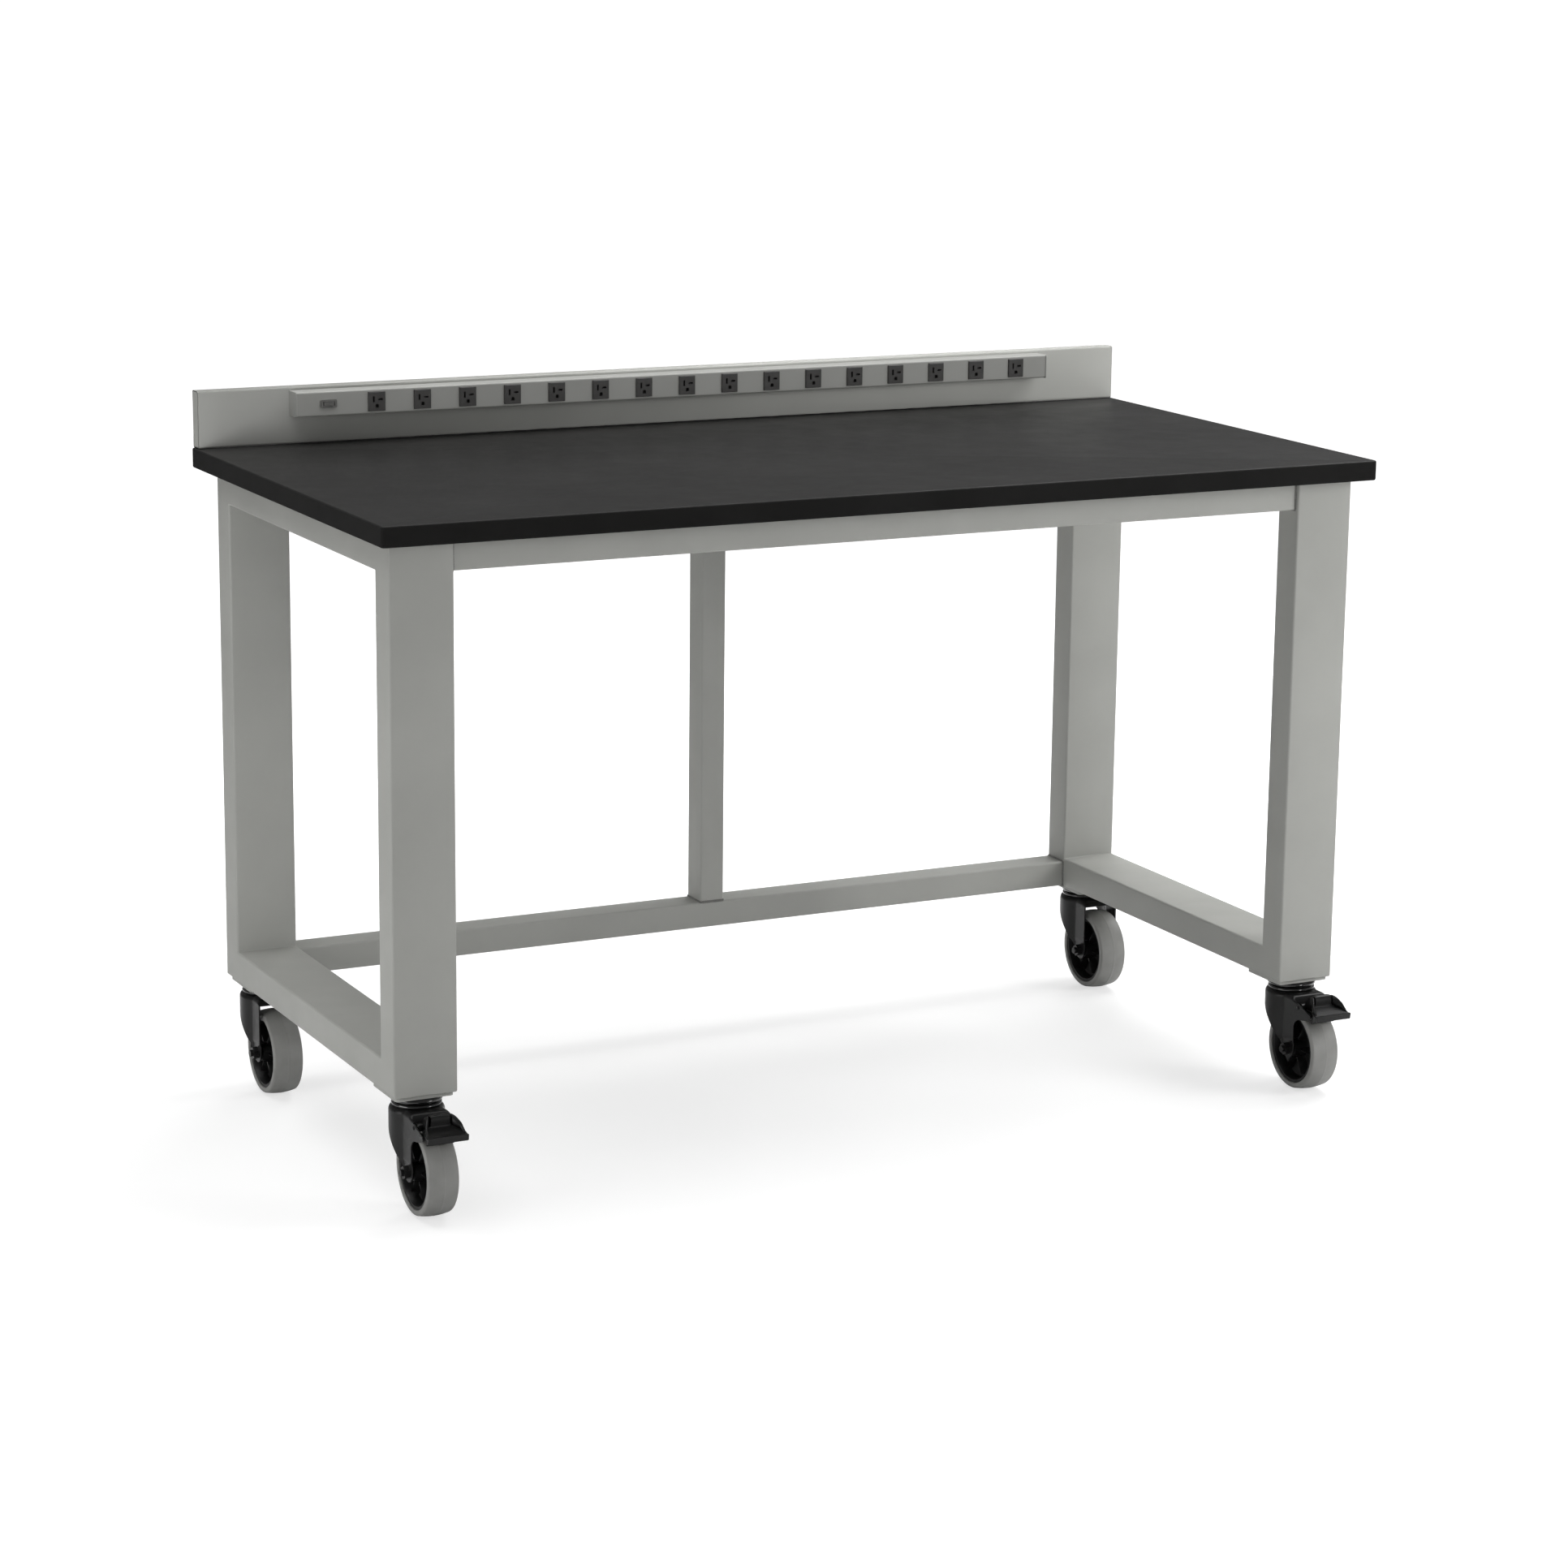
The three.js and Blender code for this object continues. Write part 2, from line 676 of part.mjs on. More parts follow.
// Axle: a hexagon bolt through fork and hub, with its nut run up on the left
function axleSolid() {
  const hexRadius = nutAcrossFlats / Math.sqrt(3);
  const face = forkLegWidth / 2 + seatGap;
  const shank = 2 * face + 1.5 * nutThickness + boltEnd;
  const rod = rodX(axleRadius, shank, 12).translate([-(nutThickness / 2 + boltEnd) / 2, 0, 0]);
  const hexagon = rodX(hexRadius, nutThickness, 6);
  return join(
    rod,
    hexagon.translate([-face - nutThickness / 2, 0, 0]),
    hexagon.translate([face + nutThickness / 2, 0, 0]),
  );
}

// Wheel: a dished core with a hub, a web, radial ribs and a rim, and a rounded tyre moulded on it
function coreSolid() {
  const rimOuter = wheelRadius - tyreThickness;
  const rimInner = rimOuter - rimThickness;
  const halfWidth = coreWidth / 2;
  const halfHub = hubLength / 2;
  const halfWeb = webThickness / 2;
  const bore = axleRadius + runningGap;
  const disc = revolvedX([
    [bore, -halfHub],
    [hubRadius - 2, -halfHub],
    [hubRadius, -halfWeb],
    [rimInner - 2, -halfWeb],
    [rimInner, -halfWidth],
    [rimOuter, -halfWidth],
    [rimOuter, halfWidth],
    [rimInner, halfWidth],
    [rimInner - 2, halfWeb],
    [hubRadius, halfWeb],
    [hubRadius - 2, halfHub],
    [bore, halfHub],
    [bore, -halfHub],
  ], wheelSteps);
  const ribLength = rimInner - hubRadius + 4;
  const ribs = [];
  for (let i = 0; i < ribCount; i += 1) {
    const rib = block(coreWidth - 2 * ribSetback, ribThickness, ribLength);
    const placed = rib.translate([0, 0, (hubRadius + rimInner) / 2 - 1]);
    ribs.push(placed.rotate([(i * 360) / ribCount, 0, 0]));
  }
  return join(disc, ...ribs);
}

function tyreSolid() {
  const inner = wheelRadius - tyreThickness + seatGap;
  const half = tyreWidth / 2;
  const shoulder = (turn) => [
    wheelRadius - tyreShoulder + tyreShoulder * Math.cos(turn),
    half - tyreShoulder + tyreShoulder * Math.sin(turn),
  ];
  const right = [0, 45, 90].map((degrees) => shoulder(THREE.MathUtils.degToRad(degrees)));
  const left = right.map(([radius, x]) => [radius, -x]).reverse();
  return revolvedX([[inner, -half], ...left, ...right, [inner, half], [inner, -half]], wheelSteps);
}

// Brake pedal: a barrel on two pins with a release tab, a foot lip and a shoe above the tread
function pedalArmOutline() {
  const lipRound = pedalSheet / 2;
  const tabFront = -pedalTabReach - pedalTabSheet;
  const shape = new THREE.Shape();
  shape.moveTo(pedalRootRise, -pedalRootRise);
  shape.lineTo(pedalRootRise, pedalRootRise);
  shape.quadraticCurveTo(-pedalTabReach / 2, pedalTabRise, -pedalTabReach, pedalTabRise);
  shape.quadraticCurveTo(tabFront, pedalTabRise, tabFront, pedalTabRise - pedalTabSheet);
  shape.lineTo(tabFront + lipRound, pedalRootRise);
  shape.lineTo(lipRound - pedalReach, -pedalLipDrop);
  shape.absarc(lipRound - pedalReach, -pedalLipDrop - lipRound, lipRound, Math.PI / 2, Math.PI * 1.5, false);
  shape.lineTo(-pedalTabReach, pedalRootRise - pedalSheet - pedalLipDrop);
  return shape;
}

function gussetOutline() {
  const lipBack = pedalLipDepth - pedalReach;
  return polygon([
    [-pedalRootRise, pedalRootRise],
    [-pedalTabReach, pedalTabRise - pedalTabSheet / 2],
    [-pedalTabReach - pedalTabSheet / 2, pedalTabRise - pedalTabSheet / 2],
    [lipBack - pedalTabSheet, -pedalLipDrop],
    [-pedalTabReach, -pedalLipDrop],
  ]);
}

function shoeOutline() {
  const axleY = pedalPivotReach - casterTrail;
  const axleZ = wheelRadius - (crownUnder - pedalPivotDrop);
  const radius = wheelRadius + shoeGap;
  const start = THREE.MathUtils.degToRad(shoeStart);
  const end = THREE.MathUtils.degToRad(shoeEnd);
  const startY = axleY + radius * Math.cos(start);
  const endY = axleY + radius * Math.cos(end);
  const shape = new THREE.Shape();
  shape.moveTo(startY, 0);
  shape.lineTo(startY, axleZ + radius * Math.sin(start));
  shape.absarc(axleY, axleZ, radius, start, end, false);
  shape.lineTo(endY - shoeToe, axleZ + radius * Math.sin(end) + shoeToe);
  shape.lineTo(endY, 0);
  return shape;
}

function lipPlan() {
  const back = pedalLipDepth - pedalReach;
  const wide = pedalLipWidth / 2;
  const narrow = pedalArmWidth / 2;
  return polygon([
    [-wide + pedalLipCorner, -pedalReach],
    [wide - pedalLipCorner, -pedalReach],
    [wide, -pedalReach + pedalLipCorner],
    [wide, back - pedalLipCorner],
    [wide - pedalLipCorner, back],
    [narrow, back + pedalLipDepth / 2],
    [-narrow, back + pedalLipDepth / 2],
    [-wide + pedalLipCorner, back],
    [-wide, back - pedalLipCorner],
    [-wide, -pedalReach + pedalLipCorner],
  ]);
}

function pedalSolid() {
  const barrelLength = forkTopWidth - 2 * forkSheet - 2 * runningGap;
  const barrel = rodX(pedalBarrelRadius, barrelLength);
  const pins = rodX(pedalPinRadius, forkTopWidth, 12);
  const arm = alongX(pedalArmOutline(), pedalArmWidth, 3);
  const gusset = alongX(gussetOutline(), gussetSheet);
  const gussetPlace = (pedalArmWidth - gussetSheet) / 2;
  const shoe = alongX(shoeOutline(), shoeWidth, 3);
  const wideArm = alongX(pedalArmOutline(), pedalLipWidth, 3);
  const lip = wideArm.intersect(alongZ(lipPlan(), 4 * pedalTabRise));
  return join(
    barrel,
    pins,
    arm,
    gusset.translate([-gussetPlace, 0, 0]),
    gusset.translate([gussetPlace, 0, 0]),
    shoe,
    lip,
  );
}

function addCaster(corner, x, y, braked) {
  const caster = new THREE.Group();
  caster.position.set(x, y, 0);
  addPart(caster, `${corner}_swivel_head`, swivelHeadSolid(), blackSteel);
  addPart(caster, `${corner}_fork`, forkSolid(braked), blackSteel);
  const wheel = new THREE.Group();
  wheel.position.set(0, -casterTrail, wheelRadius);
  addPart(wheel, `${corner}_axle`, axleSolid(), blackSteel);
  addPart(wheel, `${corner}_wheel_core`, coreSolid(), blackPlastic);
  addPart(wheel, `${corner}_tyre`, tyreSolid(), greyRubber);
  caster.add(wheel);
  if (braked) {
    const pedal = addPart(caster, `${corner}_brake_pedal`, pedalSolid(), blackSteel);
    pedal.position.set(0, -pedalPivotReach, crownUnder - pedalPivotDrop);
  }
  bench.add(caster);
}

function addCasters() {
  const rows = [
    { row: 'front', y: frameFront + casterInset, towardsY: -1, braked: true },
    { row: 'rear', y: frameBack - casterInset, towardsY: 1, braked: false },
  ];
  const sides = [['left', -frameCentre], ['right', frameCentre]];
  for (const { row, y, towardsY, braked } of rows) {
    for (const [side, x] of sides) {
      addCasterPlate(`${row}_${side}_caster_plate`, x, y, towardsY);
      addCaster(`${row}_${side}`, x, y, braked);
    }
  }
}

addFrame();
addWorktop();
addUpstand();
addGland();
addStripHousing();
addOutlets();
addSwitch();
addCasters();

// Stand the bench on the floor with its footprint centred on the origin
bench.updateMatrixWorld(true);
const footprint = new THREE.Box3().setFromObject(bench, true);
bench.position.set(0, -(footprint.min.y + footprint.max.y) / 2, -footprint.min.z);

export default bench;
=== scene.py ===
# %% [markdown]
# A mobile laboratory bench: a dark slab worktop on a welded frame of grey tube, with a grey upstand and
# a row of power outlets at the back, rolling on four casters. The exact solids come in first as a fixed
# frame. Every smooth surface of this lesson is laid over them in the same metres and the same axes.

# %% Load the frame
import json
from math import pi, radians

import bmesh
import bpy
import numpy as np
from mathutils import Matrix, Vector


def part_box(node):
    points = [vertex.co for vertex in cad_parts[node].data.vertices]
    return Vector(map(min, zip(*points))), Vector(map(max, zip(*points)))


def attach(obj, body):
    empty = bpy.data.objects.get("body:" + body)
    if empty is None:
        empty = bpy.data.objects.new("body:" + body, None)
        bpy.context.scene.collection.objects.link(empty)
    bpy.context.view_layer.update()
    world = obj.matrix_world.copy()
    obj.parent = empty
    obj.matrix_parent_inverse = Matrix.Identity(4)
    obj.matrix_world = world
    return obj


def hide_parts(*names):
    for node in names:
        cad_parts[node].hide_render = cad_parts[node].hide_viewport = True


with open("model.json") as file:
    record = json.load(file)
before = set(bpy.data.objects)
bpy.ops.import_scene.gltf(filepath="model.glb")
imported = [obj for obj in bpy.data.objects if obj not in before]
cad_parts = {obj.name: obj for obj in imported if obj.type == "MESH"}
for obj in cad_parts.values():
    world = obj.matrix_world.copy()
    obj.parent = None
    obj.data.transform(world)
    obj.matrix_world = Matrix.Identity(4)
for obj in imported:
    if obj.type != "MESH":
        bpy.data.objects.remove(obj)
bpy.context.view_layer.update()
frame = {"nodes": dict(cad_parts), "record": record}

# %% [markdown]
# Most pieces of the bench are a section carried along a line or turned about an axis. Both are grids of
# points, so one helper that turns grids into a mesh serves them all. A grid can close on itself in
# either direction, and rows that shrink to a point are welded, which closes tube ends and poles.

# %% Grids to meshes
MM = 0.001
WELD_GAP = 2e-6


def patch(points, wrap_rows=False, wrap_cols=False):
    """Corners and faces of a grid of points: each cell of the grid is one four-sided face."""
    rows, cols = points.shape[:2]
    index = np.arange(rows * cols).reshape(rows, cols)
    index = np.pad(index, ((0, int(wrap_rows)), (0, int(wrap_cols))), mode="wrap")
    faces = np.stack([index[:-1, :-1], index[1:, :-1], index[1:, 1:], index[:-1, 1:]], axis=-1)
    return points.reshape(-1, 3), faces.reshape(-1, 4)


def build(name, patches, finish, body, crease=38, sheet=None):
    """One piece from several grids, welded, facing outwards, riding on a body; sheet gives a thickness."""
    starts = np.cumsum([0] + [len(corners) for corners, _ in patches])
    corners = np.vstack([corners for corners, _ in patches]).astype(np.float32)
    faces = np.vstack([f + s for (_, f), s in zip(patches, starts)]).astype(np.int32)
    mesh = bpy.data.meshes.new(name)
    mesh.vertices.add(len(corners))
    mesh.vertices.foreach_set("co", corners.ravel())
    mesh.loops.add(faces.size)
    mesh.loops.foreach_set("vertex_index", faces.ravel())
    mesh.polygons.add(len(faces))
    mesh.polygons.foreach_set("loop_start", np.arange(0, faces.size, 4, dtype=np.int32))
    mesh.update(calc_edges=True)
    shell = bmesh.new()
    shell.from_mesh(mesh)
    bmesh.ops.remove_doubles(shell, verts=shell.verts, dist=WELD_GAP)
    bmesh.ops.recalc_face_normals(shell, faces=shell.faces)
    shell.to_mesh(mesh)
    shell.free()
    mesh.shade_smooth()
    mesh.set_sharp_from_angle(angle=radians(crease))
    mesh.materials.append(finish)
    piece = bpy.data.objects.new(name, mesh)
    bpy.context.collection.objects.link(piece)
    if sheet:
        wall = piece.modifiers.new("sheet", "SOLIDIFY")
        wall.thickness = sheet * MM
        wall.offset = 0
    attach(piece, body)
    return piece


print("points closer than", WELD_GAP, "m are welded")

# %% [markdown]
# A rectangular tube has rounded corners, because the strip it is rolled from can't bend sharply. Its
# section is four quarter circles joined by straight sides. The same outline, with other sizes, also
# gives the worktop, the end plates of the upstand and the end caps of the strip.

# %% Sections and solids
def rounded_rectangle(width, depth, radius, steps=6):
    """Closed loop of points: quarter circles about four corner centres, one after the other."""
    turn = np.linspace(0, pi / 2, steps + 1)
    quarter = radius * np.stack([np.cos(turn), np.sin(turn)], axis=-1)
    sides = [(1, 1, 0), (-1, 1, 1), (-1, -1, 2), (1, -1, 3)]
    spins = [np.array([[np.cos(k * pi / 2), np.sin(k * pi / 2)], [-np.sin(k * pi / 2), np.cos(k * pi / 2)]])
             for _, _, k in sides]
    centres = [np.array([a * (width / 2 - radius), b * (depth / 2 - radius)]) for a, b, _ in sides]
    return np.vstack([quarter @ spin + centre for spin, centre in zip(spins, centres)])


AXES = {"X": (1, 2, 0), "Y": (0, 2, 1), "Z": (0, 1, 2)}


def carried(loop, axis, low, high, ease=0.0):
    """A section carried along one axis and closed at both ends, its end edges eased by a small slope."""
    middle = loop.mean(axis=0)
    reach = np.abs(loop - middle).max()
    slim = middle + (loop - middle) * (1 - ease / reach)
    point = np.repeat(middle[None], len(loop), axis=0)
    rows = np.stack([point, slim, loop, loop, slim, point])
    along = np.array([low, low, low + ease, high - ease, high, high])
    first, second, third = AXES[axis]
    grid = np.zeros(rows.shape[:2] + (3,))
    grid[..., first] = rows[..., 0]
    grid[..., second] = rows[..., 1]
    grid[..., third] = along[:, None]
    return patch(grid, wrap_cols=True)


def turned(profile, centre, axis, steps=64):
    """A profile of radius and place along the axis, turned once round that axis through the centre."""
    profile = np.asarray(profile, float)
    turn = np.linspace(0, 2 * pi, steps, endpoint=False)[:, None]
    first, second, third = AXES[axis]
    grid = np.zeros((steps, len(profile), 3))
    grid[..., first] = profile[:, 0] * np.cos(turn)
    grid[..., second] = profile[:, 0] * np.sin(turn)
    grid[..., third] = profile[:, 1]
    return patch(grid + np.asarray(centre, float), wrap_rows=True)


def middle_of(node):
    """Lowest corner, highest corner and middle of a solid of the frame, as arrays."""
    low, high = (np.array(corner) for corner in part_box(node))
    return low, high, (low + high) / 2


print("worktop, middle of its solid", np.round(middle_of("worktop")[2], 4))

# %% [markdown]
# Finishes. The frame, the strip, the worktop, the casters and the tyres all differ in colour, gloss
# and grain, but each is a coat with slow clouds of colour, a gloss that wanders a little and a fine
# grain. One function makes that kind of coat, and the calls below set how strong each part is. All
# patterns read Object coordinates, so they are true to scale: a grain of 900 is about a millimetre.

# %% Coat maker
NOISE_LOW, NOISE_HIGH = 0.3, 0.7
GRAIN_HEIGHT = 0.6 * MM


def coat(name, dark, light, cloud, gloss, grain, relief, level=0.5):
    """A material whose colour runs from dark to light in clouds, with a wandering gloss and a grain."""
    material = bpy.data.materials.new(name)
    material.use_nodes = True
    nodes, links = material.node_tree.nodes, material.node_tree.links
    shader = nodes["Principled BSDF"]
    shader.inputs["Specular IOR Level"].default_value = level
    place = nodes.new("ShaderNodeTexCoord")

    def noise(scale, detail):
        node = nodes.new("ShaderNodeTexNoise")
        node.inputs["Scale"].default_value = scale
        node.inputs["Detail"].default_value = detail
        links.new(place.outputs["Object"], node.inputs["Vector"])
        return node.outputs["Fac"]

    clouds = nodes.new("ShaderNodeValToRGB")
    clouds.color_ramp.elements[0].position = NOISE_LOW
    clouds.color_ramp.elements[0].color = (*dark, 1)
    clouds.color_ramp.elements[1].position = NOISE_HIGH
    clouds.color_ramp.elements[1].color = (*light, 1)
    links.new(noise(cloud, 6), clouds.inputs["Fac"])
    links.new(clouds.outputs["Color"], shader.inputs["Base Color"])
    sheen = nodes.new("ShaderNodeMapRange")
    sheen.inputs["From Min"].default_value = NOISE_LOW
    sheen.inputs["From Max"].default_value = NOISE_HIGH
    sheen.inputs["To Min"].default_value = gloss[0]
    sheen.inputs["To Max"].default_value = gloss[1]
    links.new(noise(cloud * 2.7, 4), sheen.inputs["Value"])
    links.new(sheen.outputs["Result"], shader.inputs["Roughness"])
    bump = nodes.new("ShaderNodeBump")
    bump.inputs["Strength"].default_value = relief
    bump.inputs["Distance"].default_value = GRAIN_HEIGHT
    links.new(noise(grain, 2), bump.inputs["Height"])
    links.new(bump.outputs["Normal"], shader.inputs["Normal"])
    return material


print("clouds and gloss follow the noise from", NOISE_LOW, "to", NOISE_HIGH)

# %% [markdown]
# Powder coat is paint baked on as dust. It shrinks into a faint orange peel a millimetre or so across,
# and its colour is almost even. The rippled welds get a darker grey, a painted shade that stands in for
# the shadowed crevice round each joint. The strip has a slightly darker grey in a smoother spray coat.
# The worktop is a cast resin with a honed, slightly cloudy top. The casters have a semi-gloss black dip
# with glossy rings on their heads, moulded black wheels and satin grey rubber.

# %% Finishes of the bench
powder = coat("powder_coat", (0.335, 0.338, 0.318), (0.365, 0.368, 0.347), 7, (0.46, 0.56), 750, 0.10)
# The welds' darker grey is painted shade: it stands in for the shadowed crevice at each joint.
painted_weld_shade = coat("painted_weld_shade", (0.12, 0.121, 0.114), (0.2, 0.202, 0.19), 90, (0.5, 0.62), 1200, 0.1)
strip_paint = coat("strip_paint", (0.285, 0.287, 0.272), (0.31, 0.312, 0.297), 11, (0.42, 0.5), 1400, 0.05)
resin = coat("dark_resin", (0.0105, 0.0103, 0.0099), (0.0146, 0.0143, 0.0138), 5,
             (0.4, 0.5), 1300, 0.06, level=0.18)
black_dip = coat("black_steel", (0.0035, 0.0035, 0.0035), (0.006, 0.006, 0.006), 40,
                 (0.27, 0.34), 1100, 0.02, level=0.35)
black_gloss = coat("black_gloss", (0.004, 0.004, 0.004), (0.006, 0.006, 0.006), 40, (0.1, 0.16), 1100, 0.03)
gloss_shader = black_gloss.node_tree.nodes["Principled BSDF"]
gloss_shader.inputs["Coat Weight"].default_value = 1.0
gloss_shader.inputs["Coat Roughness"].default_value = 0.08
black_mould = coat("black_plastic", (0.0035, 0.0035, 0.0035), (0.0055, 0.0055, 0.0055), 60,
                   (0.34, 0.42), 1800, 0.03, level=0.32)
rubber = coat("grey_rubber", (0.215, 0.215, 0.206), (0.25, 0.25, 0.239), 35, (0.4, 0.52), 1500, 0.1)
outlet_mould = coat("outlet_plastic", (0.048, 0.047, 0.046), (0.06, 0.059, 0.057), 60, (0.4, 0.5), 2200, 0.08)
switch_mould = coat("switch_plastic", (0.12, 0.12, 0.114), (0.14, 0.14, 0.133), 60, (0.4, 0.5), 2200, 0.08)
sealant = coat("sealant", (0.012, 0.012, 0.012), (0.02, 0.02, 0.02), 90, (0.5, 0.65), 1500, 0.2)
print("finishes", len(bpy.data.materials))

# %% [markdown]
# Each end of the bench is a closed rectangle of tube, 91 mm wide and 42 to 50 mm deep. The corners are
# mitred, welded and ground flush, so the finished frame reads as one ring. It could be four tubes with
# a joint at each corner. Carrying the section round the four corners, with each corner set on its
# mitre, gives the flush ring directly, and a fine bevel takes the sharpness off the ground mitres. The
# legs are 8 mm and the low rails 3 mm deeper than the solids, as the photograph shows them.

# %% Side frames
TUBE_ROUND, LEG_DEPTH, LOW_RAIL, TOP_RAIL = 3.5 * MM, 50 * MM, 45 * MM, 42 * MM
AHEAD, BEHIND = 2 * MM, 6 * MM
MITRE_EASE = 0.9 * MM


def side_ring(side):
    """Section carried round a rectangle: a point moves in from both walls of a corner by its depth."""
    low, _, _ = middle_of(f"{side}_bottom_rail")
    _, high, _ = middle_of(f"{side}_top_rail")
    section = rounded_rectangle(high[0] - low[0], LEG_DEPTH, TUBE_ROUND)
    inward = section[:, 1] / LEG_DEPTH + 0.5
    front, back = low[1] - AHEAD, high[1] + BEHIND
    corner_y = np.array([front, back, back, front])
    corner_z = np.array([low[2], low[2], high[2], high[2]])
    step_y = np.array([1, -1, -1, 1]) * LEG_DEPTH
    step_z = np.array([LOW_RAIL, LOW_RAIL, -TOP_RAIL, -TOP_RAIL])
    grid = np.zeros((4, len(section), 3))
    grid[..., 0] = (low[0] + high[0]) / 2 + section[:, 0]
    grid[..., 1] = corner_y[:, None] + step_y[:, None] * inward
    grid[..., 2] = corner_z[:, None] + step_z[:, None] * inward
    return patch(grid, wrap_rows=True, wrap_cols=True)


for side in ("left", "right"):
    ring = build(f"{side}_frame_ring", [side_ring(side)], powder, "bench")
    soften = ring.modifiers.new("ground mitres", "BEVEL")
    soften.width = MITRE_EASE
    soften.segments = 2
    soften.limit_method = "ANGLE"
    soften.angle_limit = radians(50)
    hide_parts(*[f"{side}_{tube}" for tube in ("front_leg", "rear_leg", "top_rail", "bottom_rail")])
    print(ring.name, len(ring.data.polygons), "faces")

# %% [markdown]
# Three rails tie the two rings together, and a slim post stands on the lower rear rail, a little to the
# right of the middle. They are plain lengths of tube, cut square and butted against their neighbours,
# so a straight carry of the rounded section is all they need.

# %% Rails and post
RAIL_ROUND, RAIL_AHEAD, BUTT = 3 * MM, 3 * MM, 0.28 * MM


def tube_box(node):
    """Box of a tube; the rear tubes reach further forward and back than their solids, as the legs do."""
    low, high, _ = middle_of(node)
    if node.startswith("rear"):
        low[1] -= RAIL_AHEAD
        high[1] += BEHIND
    return low, high, (low + high) / 2


def straight_tube(node, axis):
    """Rounded section of a tube's box, carried along the tube's long axis, touching its neighbours."""
    low, high, centre = tube_box(node)
    first, second, third = AXES[axis]
    size = high - low
    loop = rounded_rectangle(size[first], size[second], RAIL_ROUND)
    loop = loop + np.array([centre[first], centre[second]])
    return carried(loop, axis, low[third] - BUTT, high[third] + BUTT)


tubes = {"front_top_rail": "X", "rear_top_rail": "X", "rear_bottom_rail": "X", "rear_centre_post": "Z"}
for node, axis in tubes.items():
    tube = build(f"{node}_tube", [straight_tube(node, axis)], powder, "bench")
    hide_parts(node)
print("tubes", len(tubes))

# %% [markdown]
# Where a rail meets a ring, the welder lays a bead round the joint. It is a rope of overlapping pools
# under the paint. A tube that follows the rail's own outline, with its thickness rising and falling
# every few millimetres, gives those pools. The casters' pads get short stitch beads in the same way.

# %% Weld beads
BEAD_ROUND, BEAD_STEP, SWELL = 1.9 * MM, 0.8 * MM, 0.14


def bead(path, radius, pool=3.2, closed=True):
    """Ring of eight points carried along a path; the ring swells and shrinks once per weld pool."""
    ahead = np.roll(path, -1, axis=0) if closed else np.gradient(path, axis=0) + path
    behind = np.roll(path, 1, axis=0) if closed else path
    along = ahead - behind
    along /= np.linalg.norm(along, axis=1, keepdims=True)
    travel = np.concatenate([[0], np.cumsum(np.linalg.norm(np.diff(path, axis=0), axis=1))])
    swell = radius * (1 + SWELL * np.sin(2 * pi * travel / (pool * MM)))
    if not closed:
        swell = swell * np.sqrt(np.clip(1 - np.linspace(-1, 1, len(path)) ** 4, 0, 1))
    along_x = np.abs(along[:, :1]) > 0.9
    across = np.cross(along, np.where(along_x, [[0.0, 0.0, 1.0]], [[1.0, 0.0, 0.0]]))
    across /= np.linalg.norm(across, axis=1, keepdims=True)
    up = np.cross(across, along)
    turn = np.linspace(0, 2 * pi, 8, endpoint=False)
    rim = np.cos(turn)[None, :, None] * across[:, None] + np.sin(turn)[None, :, None] * up[:, None]
    return patch(path[:, None] + swell[:, None, None] * rim, wrap_rows=closed, wrap_cols=True)


def resampled(loop, gap):
    """The same closed loop with points at an even distance along it."""
    shut = np.vstack([loop, loop[:1]])
    travel = np.concatenate([[0], np.cumsum(np.linalg.norm(np.diff(shut, axis=0), axis=1))])
    spots = np.linspace(0, travel[-1], max(int(travel[-1] / gap), 8), endpoint=False)
    return np.stack([np.interp(spots, travel, shut[:, k]) for k in range(shut.shape[1])], axis=-1)


def joint_bead(node, axis, at_high):
    """Closed bead round one end of a tube, on the outline of the tube's own section."""
    low, high, centre = tube_box(node)
    first, second, third = AXES[axis]
    size = high - low
    loop = resampled(rounded_rectangle(size[first], size[second], RAIL_ROUND), BEAD_STEP)
    path = np.zeros((len(loop), 3))
    path[:, first] = loop[:, 0] + centre[first]
    path[:, second] = loop[:, 1] + centre[second]
    path[:, third] = high[third] if at_high else low[third]
    return bead(path, BEAD_ROUND)


frame_welds = [joint_bead(node, axis, end) for node, axis in tubes.items() for end in (False, True)]
# The beads take the darker weld grey, a painted shade along the joints.
welds = build("frame_weld_beads", frame_welds, painted_weld_shade, "bench", crease=80)
print("weld beads", len(frame_welds), "with", len(welds.data.polygons), "faces")

# %% [markdown]
# The worktop is a slab about 29 mm thick with rounded corners and eased edges. A bevelled box would do,
# but its corners and edges have different radii. Here the edge is a profile of inset and height that
# is carried round the outline: a point that is set in by some distance lies on a rounded rectangle
# that much smaller, so the ease keeps an even width round the corners. The edges are duller than the
# top and carry a painted shade, a darker colour, and the height of a point on the slab tells them apart.

# %% Worktop
TOP_CORNER, TOP_EASE = 6 * MM, 2.6 * MM
PAINTED_EDGE_SHADE, EDGE_ROUGHER = 0.74, 0.42


def slab(node, corner, ease, steps=6):
    """Edge profile carried round a rounded rectangle, closed to the middle at the top and underneath."""
    low, high, centre = middle_of(node)
    turn = np.linspace(0, pi / 2, steps)
    inset = ease * (1 - np.sin(turn))
    rise = ease * (1 - np.cos(turn))
    insets = np.concatenate([inset, inset[::-1]])
    heights = np.concatenate([low[2] + rise, high[2] - rise[::-1]])
    size = high - low
    loops = [rounded_rectangle(size[0] - 2 * d, size[1] - 2 * d, corner - d, 8) for d in insets]
    loops = [loops[0] * 0, *loops, loops[-1] * 0]
    heights = np.concatenate([[low[2]], heights, [high[2]]])
    grid = np.zeros((len(loops), len(loops[0]), 3))
    grid[..., :2] = np.stack(loops) + centre[:2]
    grid[..., 2] = heights[:, None]
    return patch(grid, wrap_cols=True)


